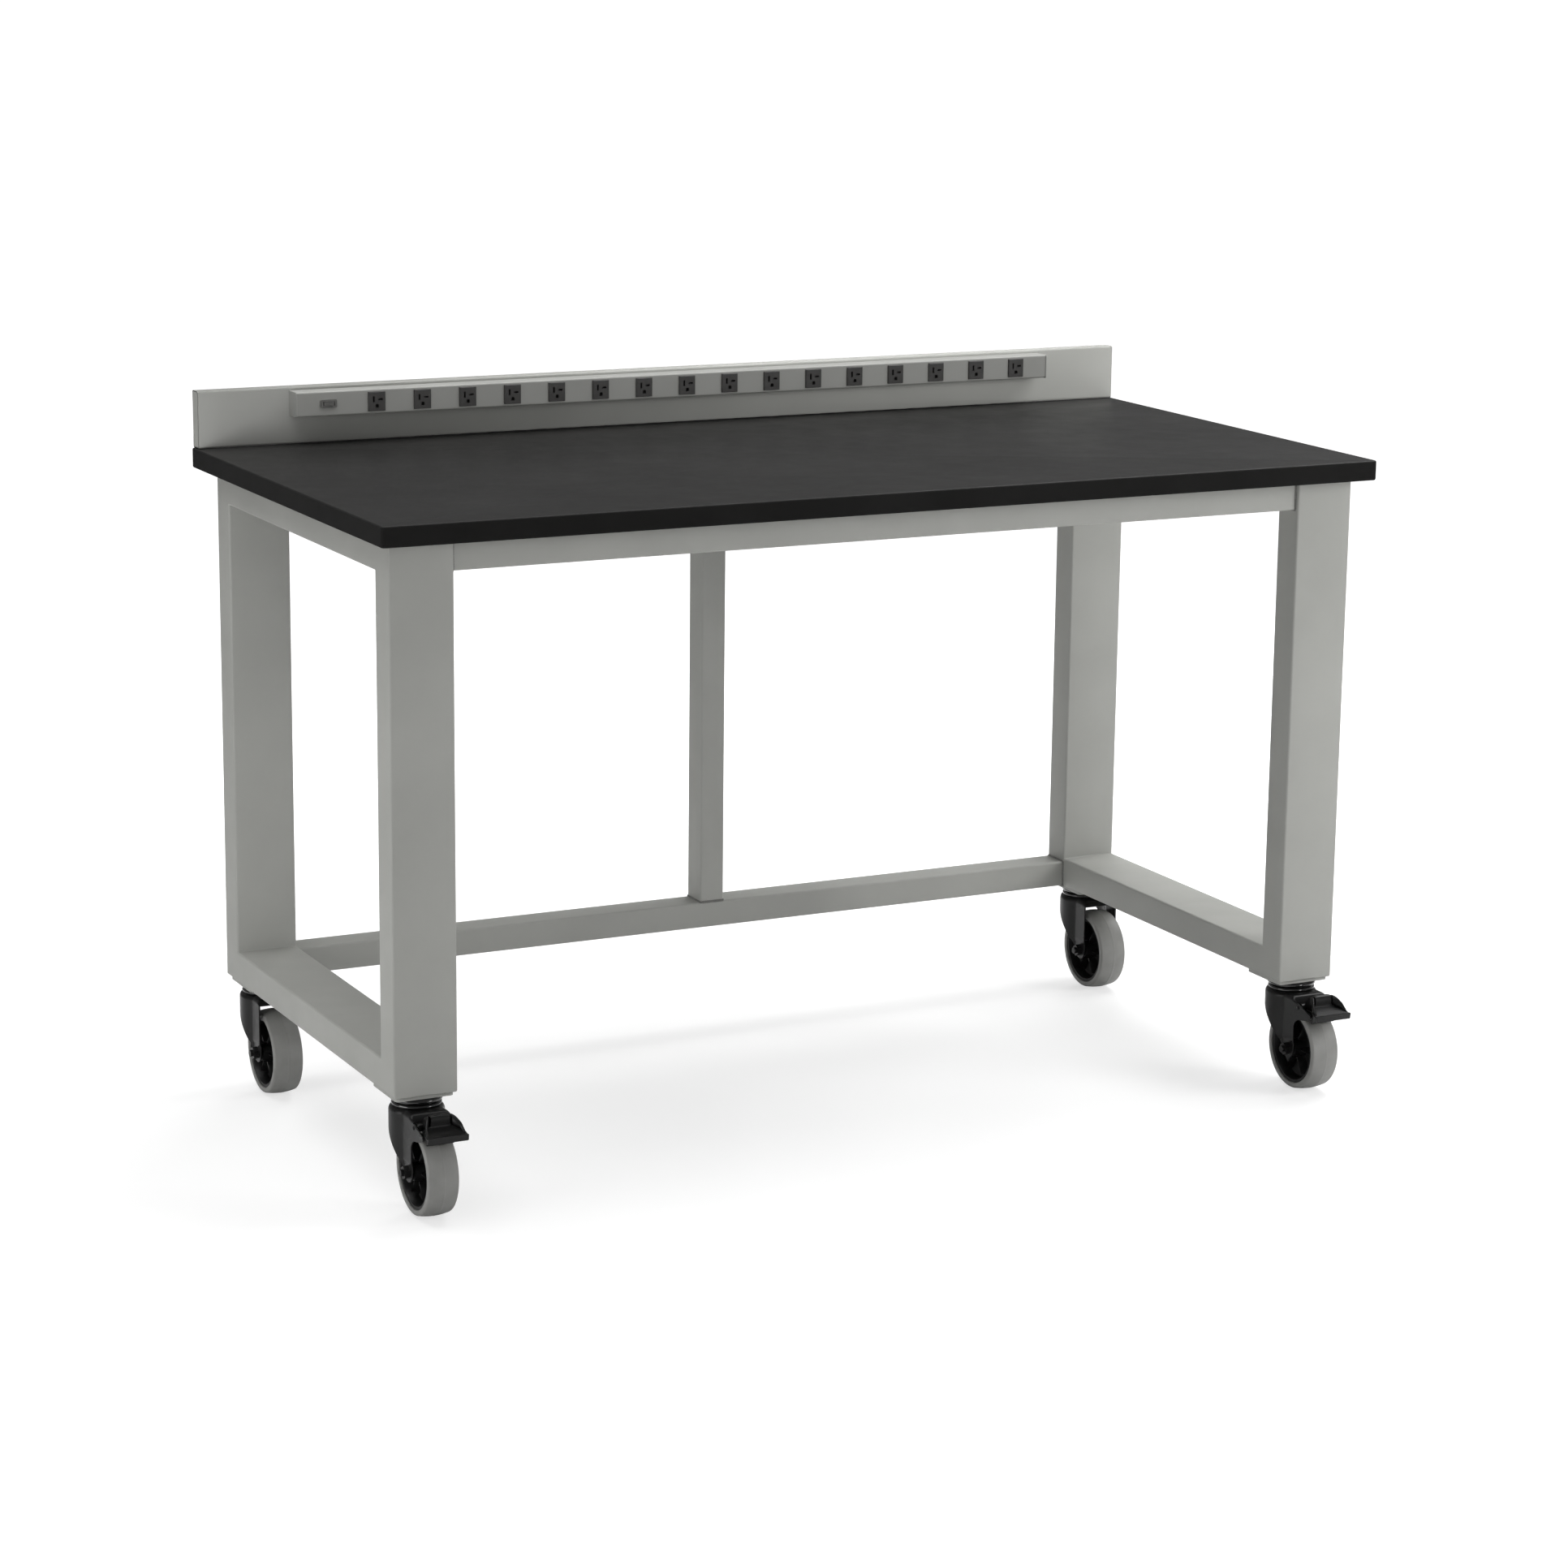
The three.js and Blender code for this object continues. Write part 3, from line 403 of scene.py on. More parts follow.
def paint_edge_shade_and_roughness(material, top_height, ease):
    """Painted shade on the edges: colour rises and roughness falls from edge values to top values near the
    top face.
    """
    nodes, links = material.node_tree.nodes, material.node_tree.links
    shader, clouds, sheen = nodes["Principled BSDF"], nodes["Color Ramp"], nodes["Map Range"]
    part = nodes.new("ShaderNodeSeparateXYZ")
    links.new(nodes["Texture Coordinate"].outputs["Object"], part.inputs["Vector"])

    def by_height(at_edge, at_top):
        node = nodes.new("ShaderNodeMapRange")
        node.inputs["From Min"].default_value = top_height - ease
        node.inputs["From Max"].default_value = top_height
        node.inputs["To Min"].default_value = at_edge
        node.inputs["To Max"].default_value = at_top
        links.new(part.outputs["Z"], node.inputs["Value"])
        return node.outputs["Result"]

    # Painted shade: below the top face the slab's colour is darkened, so its edges read darker.
    shade = nodes.new("ShaderNodeHueSaturation")
    links.new(clouds.outputs["Color"], shade.inputs["Color"])
    links.new(by_height(PAINTED_EDGE_SHADE, 1.0), shade.inputs["Value"])
    links.new(shade.outputs["Color"], shader.inputs["Base Color"])
    rougher = nodes.new("ShaderNodeMath")
    links.new(sheen.outputs["Result"], rougher.inputs[0])
    links.new(by_height(EDGE_ROUGHER, 0.0), rougher.inputs[1])
    links.new(rougher.outputs["Value"], shader.inputs["Roughness"])


# The worktop's edges get a painted shade and a rougher finish.
paint_edge_shade_and_roughness(resin, middle_of("worktop")[1][2], TOP_EASE)
top = build("worktop_slab", [slab("worktop", TOP_CORNER, TOP_EASE)], resin, "bench", crease=50)
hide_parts("worktop")
print(top.name, len(top.data.polygons), "faces")

# %% [markdown]
# The upstand is a pan folded from thin sheet: a front, narrow top and bottom flanges, closed ends and
# short returns, open at the back. A solid bar would look the same from the front, but not from behind.
# One open section, carried along the bench and given the sheet's thickness, makes the folds with their
# soft bends. Two small end plates close it, and a dark line of sealant runs along its foot.

# %% Upstand
PAN_SHEET, PAN_BEND, PAN_RETURN = 1.5, 2.5 * MM, 14 * MM
HALF_SHEET = PAN_SHEET / 2 * MM
SEALANT_ROUND, SEALANT_WAVE, SEALANT_SHORT = 1.1 * MM, 37, 2 * MM


def folded_pan(node):
    """Open section of two returns, two flanges and a front with rounded folds, carried along X."""
    low, high, _ = middle_of(node)
    (y0, z0), (y1, z1) = low[1:] + HALF_SHEET, high[1:] - HALF_SHEET
    r = PAN_BEND
    turn = np.linspace(0, pi / 2, 6)
    bends = [(y1 - r, z0 + r, 0), (y0 + r, z0 + r, -pi / 2),
             (y0 + r, z1 - r, -pi), (y1 - r, z1 - r, -3 * pi / 2)]
    folds = [np.stack([y + r * np.cos(start - turn), z + r * np.sin(start - turn)], -1)
             for y, z, start in bends]
    section = np.vstack([[[y1, z0 + PAN_RETURN]], *folds, [[y1, z1 - PAN_RETURN]]])
    grid = np.zeros((2, len(section), 3))
    grid[..., 0] = np.array([low[0], high[0]])[:, None]
    grid[..., 1:] = section
    return patch(grid)


def end_plate(node, x):
    """Flat plate with the pan's outline, shrunk to its middle so that it closes the end."""
    low, high, centre = middle_of(node)
    loop = rounded_rectangle(high[1] - low[1], high[2] - low[2], PAN_BEND) + centre[1:]
    return carried(loop, "X", x - HALF_SHEET, x + HALF_SHEET, 0.2 * MM)


low, high, _ = middle_of("upstand")
pan = build("upstand_pan", [folded_pan("upstand")], powder, "bench", sheet=PAN_SHEET)
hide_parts("upstand")
ends = [end_plate("upstand", low[0] + HALF_SHEET), end_plate("upstand", high[0] - HALF_SHEET)]
build("upstand_end_plates", ends, powder, "bench")
foot = np.linspace([low[0] + SEALANT_SHORT, low[1], low[2]], [high[0] - SEALANT_SHORT, low[1], low[2]], 400)
line = bead(foot, SEALANT_ROUND, SEALANT_WAVE, closed=False)
build("upstand_sealant", [line], sealant, "bench", crease=80)
print("upstand", np.round(high - low, 3))

# %% [markdown]
# The power strip is a folded channel with cut-outs, and its own solid already has the true shape, so it
# stays and only gets its paint. Two thin end caps with a small step finish its ends. The switch bezel,
# its rocker, the cord gland, the axles and the caster pads also stay as they are and take a finish.

# %% Strip and kept solids
CAP_STEP, CAP_ROUND, CAP_EASE = 0.4 * MM, 2.6 * MM, 0.5 * MM
CAP_OUT, CAP_IN = 1.6 * MM, 0.4 * MM
low, high, centre = middle_of("strip_housing")
cap_loop = rounded_rectangle(high[1] - low[1] + 2 * CAP_STEP, high[2] - low[2] + 2 * CAP_STEP, CAP_ROUND)
cap_loop = cap_loop + centre[1:] - np.array([CAP_STEP, 0])
caps = [carried(cap_loop, "X", low[0] - CAP_OUT, low[0] + CAP_IN, CAP_EASE),
        carried(cap_loop, "X", high[0] - CAP_IN, high[0] + CAP_OUT, CAP_EASE)]
build("strip_end_caps", caps, strip_paint, "bench")
kept = {"strip_housing": strip_paint, "switch_bezel": switch_mould, "switch_rocker": switch_mould,
        "supply_gland": black_mould}
CORNERS = [f"{row}_{side}" for row in ("front", "rear") for side in ("left", "right")]
for corner in CORNERS:
    kept[f"{corner}_caster_plate"] = powder
    kept[f"{corner}_axle"] = black_dip
for node, finish in kept.items():
    frame["nodes"][node].data.materials.clear()
    frame["nodes"][node].data.materials.append(finish)
print("kept solids", len(kept))

# %% [markdown]
# An outlet is a moulded block that stands 2 mm out of the strip. Its face has an upright slot, a level
# slot and a rounded earth hole. The holes could be cut with booleans, but a relief is simpler and
# softer: the face is a grid whose depth drops where a point lies inside a hole, and the lines of the
# grid are packed close at the hole edges so that their walls are steep. Skirts close the block.

# %% Outlets
SLOTS = [(-5.2, 3.0, 1.3, 4.3), (5.2, 3.0, 3.3, 1.3)]  # place across, place up, half width, half height
EARTH_Z, EARTH_R = -6.6, 2.6
RIM, RIM_DROP, HOLE_DEPTH, BLOCK_DEPTH = 0.5, 0.45, 7.0, 12


def packed_lines(half, edges, spread=0.08, filler=9):
    """Even lines from side to side, with two more lines close to each hole edge."""
    even = np.linspace(-half, half, filler)
    edges = np.asarray(edges, float)
    return np.unique(np.concatenate([even, edges - spread, edges + spread]))


def outlet_face(node):
    """Depth of the face over width and height: flat, minus the holes, rounded off at the rim."""
    low, high, centre = middle_of(node)
    width, height = (high[0] - low[0]) / 2 / MM, (high[2] - low[2]) / 2 / MM
    round_lines = EARTH_R * np.cos(np.linspace(0, pi, 9))
    across = packed_lines(width, [x + s * w for x, _, w, _ in SLOTS for s in (-1, 1)] + [-EARTH_R, EARTH_R])
    upward = packed_lines(height, [z + s * h for _, z, _, h in SLOTS for s in (-1, 1)] + [EARTH_Z - EARTH_R])
    across = np.unique(np.concatenate([across, round_lines, [-width + RIM, width - RIM]]))
    upward = np.unique(np.concatenate([upward, EARTH_Z + round_lines, [-height + RIM, height - RIM]]))
    x, z = np.meshgrid(across, upward)
    hole = np.zeros(x.shape, bool)
    for slot_x, slot_z, slot_w, slot_h in SLOTS:
        hole |= (np.abs(x - slot_x) < slot_w) & (np.abs(z - slot_z) < slot_h)
    earth = x ** 2 + np.maximum(z - EARTH_Z, 0) ** 2 < EARTH_R ** 2
    hole |= earth & (z > EARTH_Z - EARTH_R)
    rim = np.maximum(np.abs(x) - width + RIM, np.abs(z) - height + RIM).clip(0) / RIM
    depth = RIM_DROP * rim ** 2 + HOLE_DEPTH * hole
    grid = np.stack([x * MM + centre[0], low[1] + depth * MM, z * MM + centre[2]], axis=-1)
    rim_loop = np.concatenate([grid[0], grid[1:, -1], grid[-1, -2::-1], grid[-2:0:-1, 0]])
    back = rim_loop.copy()
    back[:, 1] = low[1] + BLOCK_DEPTH * MM
    end = back * 0 + back.mean(axis=0)
    return [patch(grid), patch(np.stack([rim_loop, back, end]), wrap_cols=True)]


OUTLETS = [f"outlet_{number:02d}" for number in range(1, 17)]
for node in OUTLETS:
    outlet = build(f"{node}_moulding", outlet_face(node), outlet_mould, "bench", crease=30)
    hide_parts(node)
print("outlets", len(OUTLETS), "of", len(outlet.data.polygons), "faces")

# %% [markdown]
# A caster hangs from its head: two pressed rings with the swivel balls between them. The upper ring is
# fixed to the bench, and the lower one turns with the fork, so they are two pieces on two bodies. Both
# are profiles turned about the swivel axis, which the joints of the frame give.

# %% Swivel heads
PIVOTS = {joint["name"]: np.array(joint["pos_m"]) for joint in frame["record"]["behaviour"]["joints"]}
RACE_TOP = middle_of("front_left_fork")[1][2] / MM
PAD_UNDER = middle_of("front_left_caster_plate")[0][2] / MM
CROWN = RACE_TOP - 7.0
HEAD_RADIUS, HEAD_BULGE, STEM_RADIUS, STEM_BULGE = 35.5, 3.8, 17, 2.5


def ring_profile(radius, low, high, bulge, steps=10):
    """Half outline of a pressed ring: flat on both faces, its rim a half ellipse that bulges out."""
    turn = np.linspace(-pi / 2, pi / 2, steps)
    rim_r = radius - bulge + bulge * np.cos(turn)
    rim_z = (low + high) / 2 + (high - low) / 2 * np.sin(turn)
    return np.vstack([[0, low], np.stack([rim_r, rim_z], -1), [0, high]]) * MM


for corner in CORNERS:
    axis = PIVOTS[f"{corner}_swivel"] * [1, 1, 0]
    upper = turned(ring_profile(HEAD_RADIUS, RACE_TOP + 0.6, PAD_UNDER - 0.3, HEAD_BULGE), axis, "Z")
    stem = turned(ring_profile(STEM_RADIUS, CROWN - 7.9, RACE_TOP + 1.6, STEM_BULGE), axis, "Z", 40)
    head = build(f"{corner}_head_ring", [upper, stem], black_gloss, "bench")
    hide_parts(f"{corner}_swivel_head")
print("head rings", len(CORNERS))

# %% [markdown]
# The fork is deep-drawn from one sheet. Seen from above, it is a round cup under the head whose sides
# run forward as two legs; seen from the side, the legs narrow towards the axle and step inwards there
# to meet the hub. It could be a box with cuts. Drawn as a surface, each line of the section, from one
# leg's foot over the crown to the other's, simply runs from its front edge to its rear edge. The front
# forks have longer edges near the top: a pointed cheek on each side that carries the brake pedal.

# %% Fork outlines
CUP, LEG, JOGGLE, CROWN_BEND = 36.5, 28.2, 1.8, 6
LEG_FRONT, LEG_ROUND, CROWN_FRONT = -53.0, 14.0, -52.0
CHEEK_FOOT = 36.5
CHEEK_HEIGHTS = [36.5, 39.5, 42.5, 46, 49, 51.1, 52.7, 55.5, 58.5, 61.5, 64.5, 68.5, 72.3, 75.5, 78.5, 81]
CHEEK_FRONTS = [-53, -53.4, -54.8, -57.5, -61.5, -66.5, -76, -88,
                -95.5, -97, -94.5, -82, -69, -60, -54, CROWN_FRONT]
AXLE_Y, AXLE_Z = ((PIVOTS["front_left_wheel_spin"] - PIVOTS["front_left_swivel"])[1] / MM,
                  PIVOTS["front_left_wheel_spin"][2] / MM)


def plan_half_width(y):
    """Half width of the fork in plan: parallel legs, a short flare, then a circle round the swivel axis."""
    leg_end, flare_y, flare_x = -25, -17.3, 32.1
    flare = LEG + (flare_x - LEG) * (y - leg_end) / (flare_y - leg_end)
    round_cup = np.sqrt(np.clip(CUP ** 2 - y ** 2, 0, None))
    return np.where(y < leg_end, LEG, np.where(y < flare_y, flare, round_cup))


def fork_edges(height, braked):
    """Front and rear edge of the side at a height: a round leg end, a swept heel and, braked, a cheek."""
    below = np.sqrt(np.clip(LEG_ROUND ** 2 - np.clip(AXLE_Z - height, 0, LEG_ROUND) ** 2, 0, None))
    rise = np.clip((height - AXLE_Z) / (CROWN - CROWN_BEND - AXLE_Z), 0, 1)
    heel = AXLE_Y + LEG_ROUND + (CUP - AXLE_Y - LEG_ROUND) * rise ** 1.27
    rear = np.where(height < AXLE_Z, AXLE_Y + below, heel)
    upper = np.interp(height, [AXLE_Z, AXLE_Z + 17], [AXLE_Y - LEG_ROUND, LEG_FRONT])
    front = np.where(height < AXLE_Z, AXLE_Y - below, upper)
    if braked:
        cheek = np.interp(height, AXLE_Z + np.array(CHEEK_HEIGHTS), CHEEK_FRONTS)
        front = np.where(height > AXLE_Z + CHEEK_FOOT, cheek, front)
    return front, rear


print("axle", round(CROWN - AXLE_Z, 1), "mm below the crown and", round(-AXLE_Y, 1), "mm ahead of the swivel")

# %% [markdown]
# With both outlines known, the sheet follows. One line of heights goes up a leg and round the bend on to
# the crown, and each height is filled with steps from the front edge to the rear edge. The front lip of
# the crown turns down, further on the braked forks. A modifier gives the sheet its thickness. The lower
# ring of the head sits on the crown and turns with it.

# %% Forks
def fork_section():
    """One line over the fork: the heights of its points, and how far each lies inside round the bend."""
    foot = AXLE_Z - LEG_ROUND * np.cos(np.linspace(0, pi / 2, 12))
    legs = np.concatenate([foot, np.linspace(AXLE_Z + 1.5, AXLE_Z + 36, 20),
                           np.linspace(AXLE_Z + CHEEK_FOOT, CROWN - CROWN_BEND, 60)])
    turn = np.linspace(0, pi / 2, 7)[1:]
    height = np.concatenate([legs, CROWN - CROWN_BEND + CROWN_BEND * np.sin(turn)])
    inward = np.concatenate([legs * 0, CROWN_BEND - CROWN_BEND * np.cos(turn)])
    return height, inward


def fork_sheet(axis, braked, columns=48):
    """Section lines by edge-to-edge steps: left half, crown and right half as one sheet, front lip down."""
    height, inward = fork_section()
    front, rear = fork_edges(height, braked)
    step = (1 - np.cos(np.linspace(0, pi, columns))) / 2
    y = front[:, None] + (rear - front)[:, None] * step
    share = np.clip((height - AXLE_Z - 9.5) / 8, 0, 1)
    inset = JOGGLE * (1 - share ** 2 * (3 - 2 * share))
    wide = plan_half_width(y)
    side = np.maximum(wide - inset[:, None] - np.minimum(inward[:, None], wide), 0)
    crown = np.clip((height - CROWN + CROWN_BEND) / CROWN_BEND, 0, 1)
    lip = 14.0 if braked else 7.5
    droop = lip * crown[:, None] * np.clip(1 - step / 0.09, 0, 1) ** 2
    z = height[:, None] - droop
    left = np.stack([-side, y, z], axis=-1)
    right = np.stack([side, y, z], axis=-1)
    grid = np.concatenate([left, right[::-1]])
    return patch(grid * MM + axis)


def race_profile():
    """Lower ring of the head: a bulged rim on a short neck that flares down on to the crown."""
    turn = np.linspace(-pi / 2, pi / 2, 9)
    rim = np.stack([30.5 + 3.9 * np.cos(turn), CROWN + 3.8 + 3.2 * np.sin(turn)], -1)
    return np.vstack([[[34.0, CROWN - 1.2], [33.2, CROWN + 0.3]], rim, [[0, RACE_TOP]]]) * MM


for corner in CORNERS:
    axis = PIVOTS[f"{corner}_swivel"] * [1, 1, 0]
    braked = corner.startswith("front")
    fork = build(f"{corner}_fork_shell", [fork_sheet(axis, braked)], black_dip,
                 f"{corner}_swivel", crease=42, sheet=2.6)
    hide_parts(f"{corner}_fork")
    race = turned(race_profile(), axis, "Z")
    build(f"{corner}_race_ring", [race], black_gloss, f"{corner}_swivel")
print("forks", len(CORNERS), "of", len(fork.data.polygons), "faces")

# %% [markdown]
# The wheel is a black moulded core with a dished, ribbed web, and a grey rubber tyre cast on it. The
# core is one closed profile turned about the axle, with its web pushed out to the rib height wherever
# the angle is close to a rib. The tyre has flat sides, round shoulders, a slightly crowned tread and
# the thin raised line that the two halves of a mould leave.

# %% Wheels
TYRE_HALF = (middle_of("front_left_tyre")[1] - middle_of("front_left_tyre")[2])[0] / MM


def tyre_profile(shoulder=3.2, crowned=2.2):
    """Closed profile from bead to bead over the shoulders and the crowned tread."""
    turn = np.linspace(pi / 2, 0, 9)
    flat, edge = TYRE_HALF - shoulder, AXLE_Z - crowned
    side = np.stack([edge - shoulder + shoulder * np.cos(turn), -flat - shoulder * np.sin(turn)], -1)
    tread_x = -flat * np.array([0.8, 0.6, 0.4, 0.2, 0.03])
    tread = np.stack([edge + (crowned - 0.15) * (1 - (tread_x / flat) ** 2), tread_x], -1)
    bead_side = [[52.3, 1.2 - TYRE_HALF], [52.9, 0.1 - TYRE_HALF]]
    half = np.vstack([bead_side, side, tread, [[AXLE_Z, -0.15]]])
    other = half[::-1] * [1, -1]
    return np.vstack([half, other, half[:1]]) * MM


def core_surface(axle, ribs=6, rib_height=15.5, steps=144):
    """Turned profile of hub, web and rim; ribs lift the web towards the rim's height near six angles."""
    half = np.array([[5.5, -22.9], [11.5, -22.9], [12.4, -22.1], [13.6, -8.0], [15.5, -3.2], [20, -2.6],
                     [26, -2.6], [32, -2.6], [40.5, -2.8], [44.5, -5.5], [47.0, -18.6], [47.8, -19.8],
                     [52.4, -19.8], [53.0, -19.2]])
    profile = np.vstack([half, half[::-1] * [1, -1], half[:1]])
    radius, across = profile[:, 0], profile[:, 1]
    turn = np.linspace(0, 2 * pi, steps, endpoint=False)
    offset = (turn * ribs / (2 * pi) + 0.5) % 1 - 0.5
    gap = np.abs(offset)[:, None] * (2 * pi / ribs) * radius
    rib = np.clip(1.7 - gap * 0.75, 0, 1) * ((radius > 13.7) & (radius < 43))
    risen = across + np.sign(across) * rib * (rib_height - np.abs(across))
    lifted = np.where(np.abs(across) < 15, risen, across)
    grid = np.zeros((steps, len(profile), 3))
    grid[..., 0] = lifted
    grid[..., 1] = radius * np.cos(turn)[:, None]
    grid[..., 2] = radius * np.sin(turn)[:, None]
    return patch(grid * MM + axle, wrap_rows=True)


for corner in CORNERS:
    axle = PIVOTS[f"{corner}_wheel_spin"]
    body = f"{corner}_wheel"
    core = build(f"{corner}_core_moulding", [core_surface(axle)], black_mould, body)
    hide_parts(f"{corner}_wheel_core")
    tread = turned(tyre_profile(), axle, "X", 96)
    tyre = build(f"{corner}_tyre_tread", [tread], rubber, body, crease=60)
    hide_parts(f"{corner}_tyre")
print("wheels", len(CORNERS), "core faces", len(core.data.polygons), "tyre faces", len(tyre.data.polygons))

# %% [markdown]
# The brake pedal is pressed from sheet: it rises from its pivot to a release tab, falls to a valley and
# runs out into a wide foot lip with an upright front edge. Two gussets stiffen its sides, and a black
# shoe sits under it just clear of the tread. The sheet is a side profile carried across the pedal, with
# a width that changes along the profile. The gussets are strips between an upper and a lower edge.

# %% Pedal sheet
PEDAL_ROWS, GUSSET_ROWS = 70, 24


def smooth_line(points, count):
    """Even points on a rounded version of a broken line, by cutting its corners three times."""
    line = np.asarray(points, float)
    for _ in range(3):
        near = line[:-1] * 0.75 + line[1:] * 0.25
        far = line[:-1] * 0.25 + line[1:] * 0.75
        inner = np.stack([near, far], axis=1).reshape(-1, line.shape[1])
        line = np.vstack([line[:1], inner, line[-1:]])
    travel = np.concatenate([[0], np.cumsum(np.linalg.norm(np.diff(line, axis=0), axis=1))])
    spots = np.linspace(0, travel[-1], count)
    return np.stack([np.interp(spots, travel, line[:, k]) for k in range(line.shape[1])], axis=-1)


def pedal_plate(pivot):
    """Profile of place, height and half width, carried from side to side with a slight crown."""
    profile = smooth_line([(4, 4, 13.4), (-4, 8, 13.4), (-11, 18.5, 13.2), (-18, 20, 13.2),
                           (-21.5, 17.5, 13.2), (-21, 9, 13.6), (-21, 4.5, 16), (-27, 2.5, 22),
                           (-33, 1.2, 26.5), (-38, 0, 28.4), (-44, -1.6, 28.8), (-48.4, -2.8, 28.6)],
                          PEDAL_ROWS)
    across = np.sin(np.linspace(-pi / 2, pi / 2, 25))
    grid = np.zeros((len(profile), len(across), 3))
    grid[..., 0] = profile[:, 2:] * across
    grid[..., 1] = profile[:, :1]
    grid[..., 2] = profile[:, 1:2] - 0.9 * across ** 6
    return patch(grid * MM + pivot)


def pedal_cheek(pivot, sideways):
    """Gusset between an upper and a lower edge, a strip that spreads sideways towards the foot lip."""
    top_edge = smooth_line([(2, 3), (-8, 15), (-16, 19.5), (-25, 18), (-35, 8.5), (-44, -0.8)],
                           GUSSET_ROWS)
    low_edge = np.stack([top_edge[:, 0], np.interp(top_edge[:, 0], [-44, -20, 2], [-2.4, -3.0, -3.0])], -1)
    grid = np.zeros((2, GUSSET_ROWS, 3))
    grid[..., 0] = sideways * np.interp(top_edge[:, 0], [-44, -33, -27, -20, 2], [26.6, 24.5, 21, 17.2, 16.2])
    grid[..., 1:] = np.stack([top_edge, low_edge])
    return patch(grid * MM + pivot)


print("rows in the pedal's sheet", PEDAL_ROWS, "and in a gusset", GUSSET_ROWS)

# %% [markdown]
# The rest of the pedal is solid: the front edge of the lip and the shoe are small outlines carried
# sideways, and the barrel and its pivot pin are turned profiles. They all ride with the sheet, so the
# shoe comes down to the tread when the pedal is pressed.

# %% Brake pedals
def foot_edge(pivot, half=29 * MM):
    """Upright front edge of the lip: a flat bar carried sideways, its outline leaning out at the top."""
    outline = pivot[1:] + np.array([[-47.4, -9.6], [-47.8, -1.0], [-51.4, -0.6], [-50.4, -9.6]]) * MM
    return carried(outline, "X", pivot[0] - half, pivot[0] + half, 1.0 * MM)


def brake_shoe(pivot, axle, gap=5.6, half=20 * MM):
    """Outline between the underside of the pedal and an arc just off the tread, carried sideways."""
    angle = np.radians(np.linspace(117, 134.5, 12))
    arc = np.stack([np.cos(angle), np.sin(angle)], -1) * (AXLE_Z + gap) * MM + axle[1:]
    toe = arc[-1:] + np.array([[-2.2, 3.0]]) * MM
    roof = pivot[1:] + np.array([[-27.0, -1.5], [-8.0, -1.5]]) * MM
    return carried(np.vstack([arc, toe, roof]), "X", pivot[0] - half, pivot[0] + half, 0.8 * MM)


def pivot_barrel(pivot):
    """Rolled barrel of the pedal on its pin, whose ends show as small domes outside the cheeks."""
    barrel = np.array([[0, -25.4], [5.2, -25.4], [5.9, -24.7], [5.9, 24.7], [5.2, 25.4], [0, 25.4]]) * MM
    pin = np.array([[0, -31.0], [1.6, -30.9], [2.9, -30.2], [2.9, 30.2], [1.6, 30.9], [0, 31.0]]) * MM
    return [turned(barrel, pivot, "X", 32), turned(pin, pivot, "X", 24)]


for corner in ("front_left", "front_right"):
    pivot, axle = PIVOTS[f"{corner}_brake_press"], PIVOTS[f"{corner}_wheel_spin"]
    body = f"{corner}_brake"
    sheets = [pedal_plate(pivot), pedal_cheek(pivot, -1), pedal_cheek(pivot, 1)]
    pedal = build(f"{corner}_pedal_sheet", sheets, black_mould, body, crease=45, sheet=2.4)
    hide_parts(f"{corner}_brake_pedal")
    build(f"{corner}_foot_edge", [foot_edge(pivot)], black_dip, body)
    build(f"{corner}_brake_shoe", [brake_shoe(pivot, axle)], black_mould, body)
    build(f"{corner}_pedal_pin", pivot_barrel(pivot), black_dip, body)
print("pedals 2, sheet faces", len(pedal.data.polygons))

# %% [markdown]
# Each caster's pad is welded under its corner with short stitches, seen as little ridges of paint along
# the pad's edges. A bump in the finish would not break the outline, so each stitch is a short bead, made
# by the function that made the beads of the frame, with its two ends drawn in.

# %% Stitch welds
def stitches(node):
    """Short open beads along the four upper edges of a pad, where it meets the tube above."""
    low, high, _ = middle_of(node)
    z = high[2] - 0.3 * MM
    half, round_bead, from_side, from_front = 9 * MM, 1.8 * MM, 18 * MM, 16 * MM
    marks = []
    for x in (low[0], high[0]):
        for y in np.linspace(low[1] + from_front, high[1] - from_front, 3):
            marks.append(np.linspace([x, y - half, z], [x, y + half, z], 26))
    for y in (low[1], high[1]):
        for x in np.linspace(low[0] + from_side, high[0] - from_side, 2):
            marks.append(np.linspace([x - half, y, z], [x + half, y, z], 26))
    return [bead(mark, round_bead, closed=False) for mark in marks]


pads = [one for corner in CORNERS for one in stitches(f"{corner}_caster_plate")]
build("pad_stitch_welds", pads, powder, "bench", crease=80)
print("stitches", len(pads))

# %% [markdown]
# The bench stands on a pale sheet under soft studio light. The sheet glows, as a lit white studio floor
# does in a bright photograph, and a little more so far from the bench, so shadows stay faint and the
# sheet runs out to white. A wide dome of the same finish closes the view above it, as a studio sweep
# does. Only the camera sees that glow: the light that comes back up from the floor is the work of a
# plain grey sheet just below it.

# %% Floor
GLOW_NEAR, GLOW_FAR = 0.63, 1.0
GLOW_START, GLOW_END = 0.95, 2.4
floor_finish = coat("pale_floor", (0.42, 0.42, 0.42), (0.43, 0.43, 0.43), 3,
                    (0.85, 0.95), 300, 0.02, level=0.1)
floor_nodes, floor_links = floor_finish.node_tree.nodes, floor_finish.node_tree.links
floor_shader = floor_nodes["Principled BSDF"]
floor_shader.inputs["Emission Color"].default_value = (1, 1, 1, 1)
distance = floor_nodes.new("ShaderNodeVectorMath")
distance.operation = "LENGTH"
floor_links.new(floor_nodes["Texture Coordinate"].outputs["Object"], distance.inputs[0])
glow = floor_nodes.new("ShaderNodeMapRange")
glow.interpolation_type = "SMOOTHSTEP"
glow.inputs["From Min"].default_value = GLOW_START
glow.inputs["From Max"].default_value = GLOW_END
glow.inputs["To Min"].default_value = GLOW_NEAR
glow.inputs["To Max"].default_value = GLOW_FAR
floor_links.new(distance.outputs["Value"], glow.inputs["Value"])
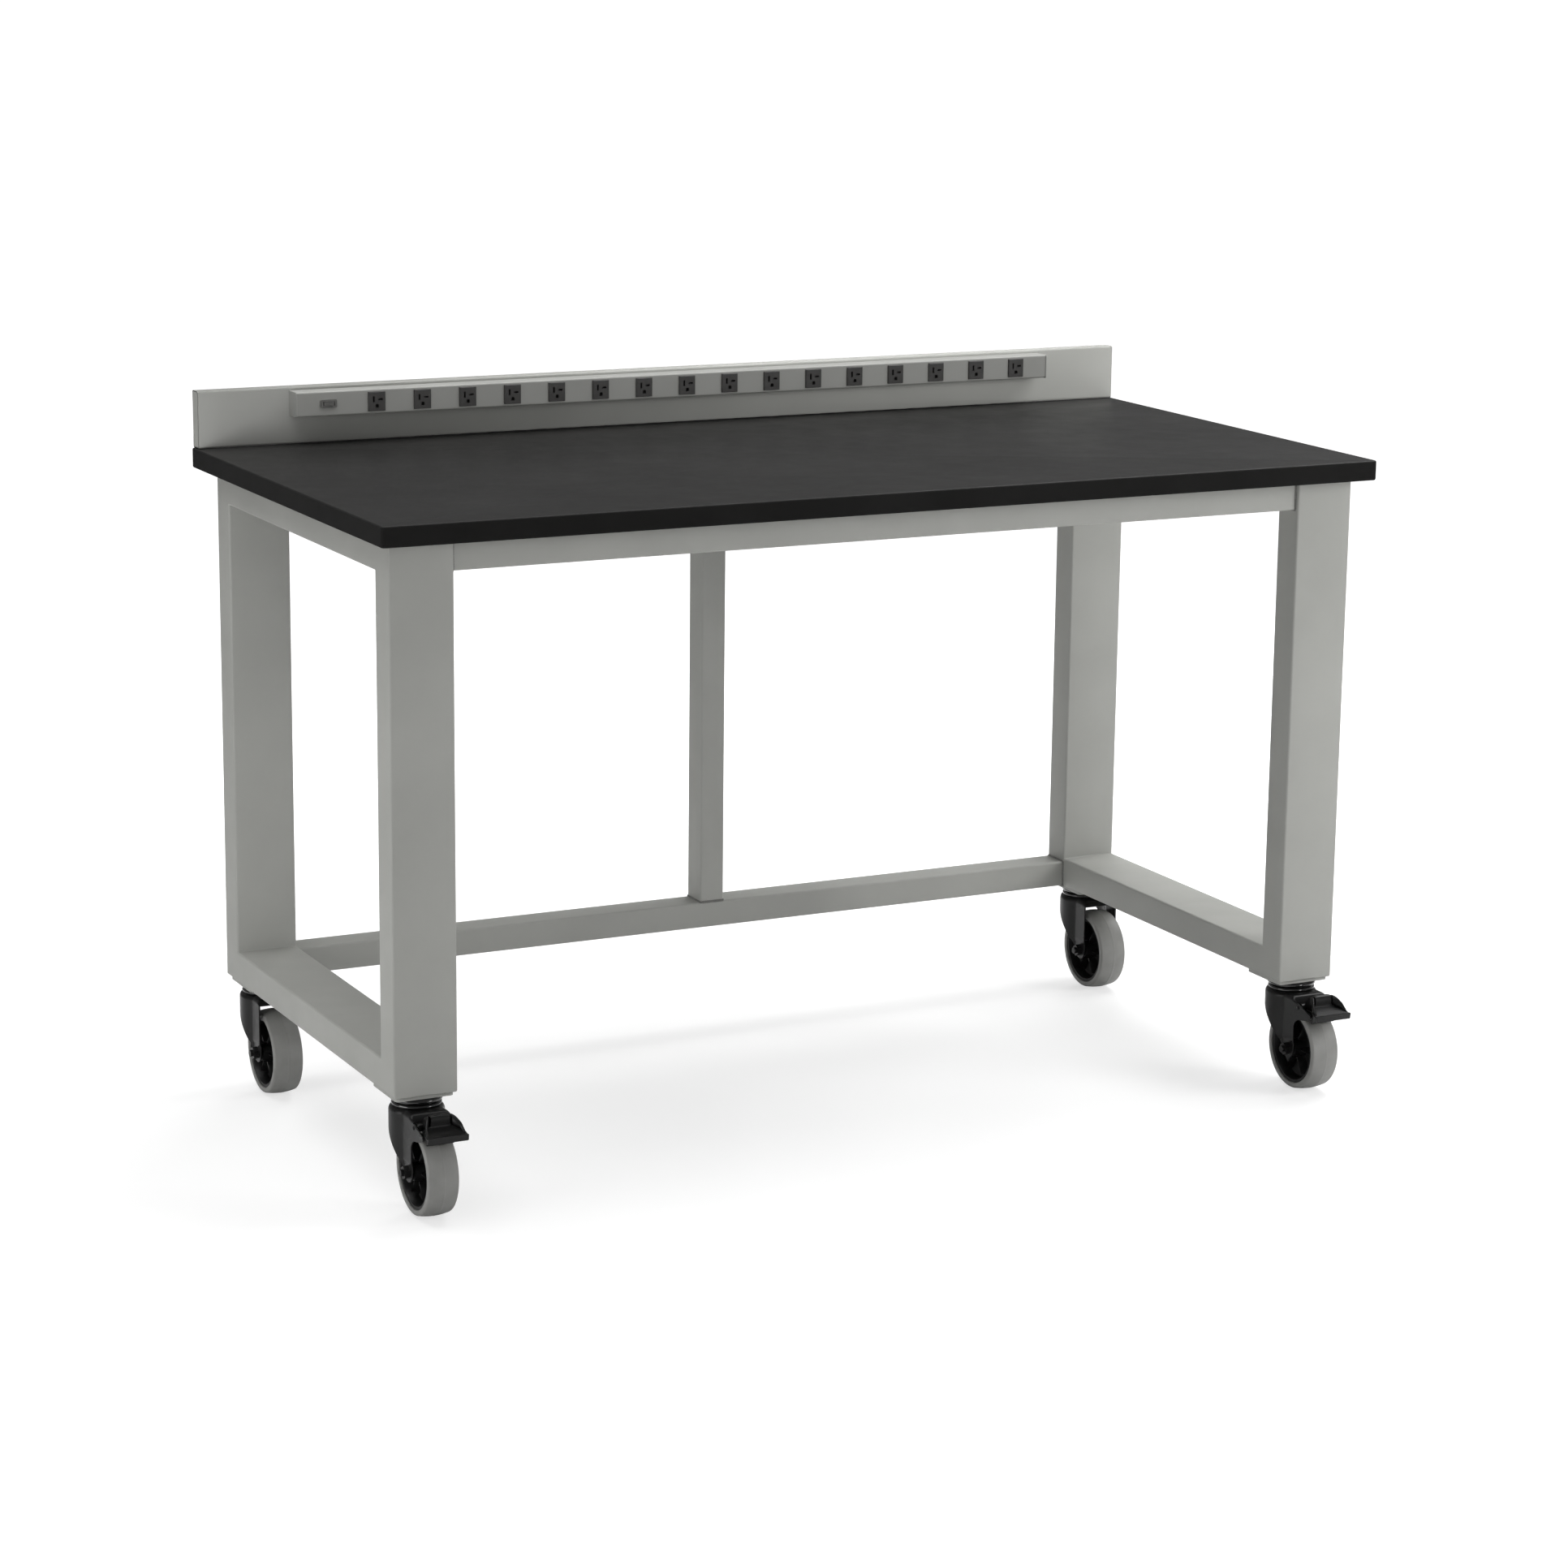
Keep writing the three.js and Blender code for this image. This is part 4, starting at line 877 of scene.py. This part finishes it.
floor_links.new(glow.outputs["Result"], floor_shader.inputs["Emission Strength"])
bounce_finish = coat("bounce_sheet", (0.69, 0.69, 0.69), (0.71, 0.71, 0.71), 3,
                     (0.85, 0.95), 300, 0.02, level=0.1)


def stage_piece(name, surface, finish):
    """Mesh of one surface with its finish, linked to the scene."""
    corners, faces = surface
    mesh = bpy.data.meshes.new(name)
    mesh.from_pydata(corners.tolist(), [], faces[:, ::-1].tolist())
    mesh.materials.append(finish)
    piece = bpy.data.objects.new(name, mesh)
    bpy.context.collection.objects.link(piece)
    return piece


def flat_sheet(height, reach=90.0):
    """Wide flat grid at one height that faces up."""
    across, deep = np.meshgrid(np.linspace(-reach, reach, 3), np.linspace(-reach, reach, 3))
    return patch(np.stack([across, deep, across * 0 + height], axis=-1))


def dome(radius=85.0):
    """Quarter circle of radius and height, turned once round the upright axis."""
    rise = np.linspace(0, pi / 2, 13)
    return turned(np.stack([np.cos(rise), np.sin(rise)], -1) * radius, (0, 0, 0), "Z", 48)


floor = stage_piece("floor", flat_sheet(-0.4 * MM), floor_finish)
backdrop = stage_piece("backdrop", dome(), floor_finish)
for piece in (floor, backdrop):
    piece.visible_diffuse = piece.visible_glossy = piece.visible_transmission = piece.visible_shadow = False
bounce = stage_piece("floor_bounce", flat_sheet(-2 * MM), bounce_finish)
bounce.visible_camera = False
print("stage", floor.name, backdrop.name, bounce.name)

# %% [markdown]
# Two wide lights hang overhead, the right one a little stronger. Small ones stand low at the left and
# at the front right, where the photograph is brightest. A wide one at the front softens the shade under
# the strip, and one at the rear right lights the tops of the low rails. These two and the front right
# one leave no glare on the worktop from any side. The smallest one stands below the worktop's height
# and only adds gloss, a glint on the rings of the casters above all.

# %% Lights
FILL = 0.2


def soft_light(name, place, aim, width, height, power):
    """Rectangle of light at a place, turned to face an aim point."""
    lamp = bpy.data.lights.new(name, "AREA")
    lamp.shape = "RECTANGLE"
    lamp.size, lamp.size_y, lamp.energy = width, height, power
    thing = bpy.data.objects.new(name, lamp)
    bpy.context.collection.objects.link(thing)
    back = np.array(place, float) - np.array(aim, float)
    back /= np.linalg.norm(back)
    side = np.cross([0, 1, 0] if abs(back[2]) > 0.99 else [0, 0, 1], back)
    side /= np.linalg.norm(side)
    up = np.cross(back, side)
    turn = np.eye(4)
    turn[:3, 0], turn[:3, 1], turn[:3, 2], turn[:3, 3] = side, up, back, place
    thing.matrix_world = Matrix(turn.tolist())
    thing.visible_camera = False
    return thing


soft_light("overhead_left", (-0.9, 0.2, 3.4), (-0.3, 0.0, 0.6), 2.2, 3.0, 70)
soft_light("overhead_right", (2.2, 0.2, 3.4), (0.6, 0.0, 0.6), 2.2, 3.0, 104)
soft_light("left_side", (-2.3, -0.45, 0.5), (-0.7, -0.2, 0.3), 1.2, 0.8, 11)
soft_light("front_right", (2.4, -1.8, 1.3), (0.7, -0.2, 0.5), 0.9, 1.1, 36).visible_glossy = False
soft_light("caster_glint", (1.2, -2.5, 0.6), (0.0, -0.3, 0.13), 0.5, 0.4, 8).visible_diffuse = False
soft_light("front_wide", (-0.2, -4.4, 1.7), (0.0, 0.0, 0.7), 3.6, 1.6, 25).visible_glossy = False
soft_light("rear_right", (2.0, 3.0, 1.9), (0.0, 0.2, 0.2), 1.8, 1.2, 60).visible_glossy = False
world = bpy.data.worlds.new("studio")
world.use_nodes = True
world.node_tree.nodes["Background"].inputs["Color"].default_value = (1.0, 1.0, 1.0, 1)
world.node_tree.nodes["Background"].inputs["Strength"].default_value = FILL
bpy.context.scene.world = world
bpy.context.scene.view_settings.view_transform = "Standard"
print("lights", len(bpy.data.lights))

# %% [markdown]
# The camera stands about six metres away, to the left of the bench and above its top, and looks down a
# little. A long lens keeps the sides of the bench almost parallel, as in the photograph.

# %% Camera
AWAY = (-2.5810, -5.1696, 0.8412)
lens = bpy.data.cameras.new("camera")
lens.sensor_width = 36.0
lens.lens = 93.07
camera = bpy.data.objects.new("camera", lens)
bpy.context.collection.objects.link(camera)
yaw, pitch, roll = 0.4638, 0.2258, 0.0112
turn = Matrix.Rotation(-yaw, 4, "Z") @ Matrix.Rotation(pi / 2 - pitch, 4, "X") @ Matrix.Rotation(roll, 4, "Z")
worktop_middle, worktop_top = middle_of("worktop")[2], middle_of("worktop")[1][2]
place = (AWAY[0], worktop_middle[1] + AWAY[1], worktop_top + AWAY[2])
camera.matrix_world = Matrix.Translation(place) @ turn
bpy.context.scene.camera = camera
print("camera", np.round(place, 3), "lens", round(lens.lens, 2), "mm")
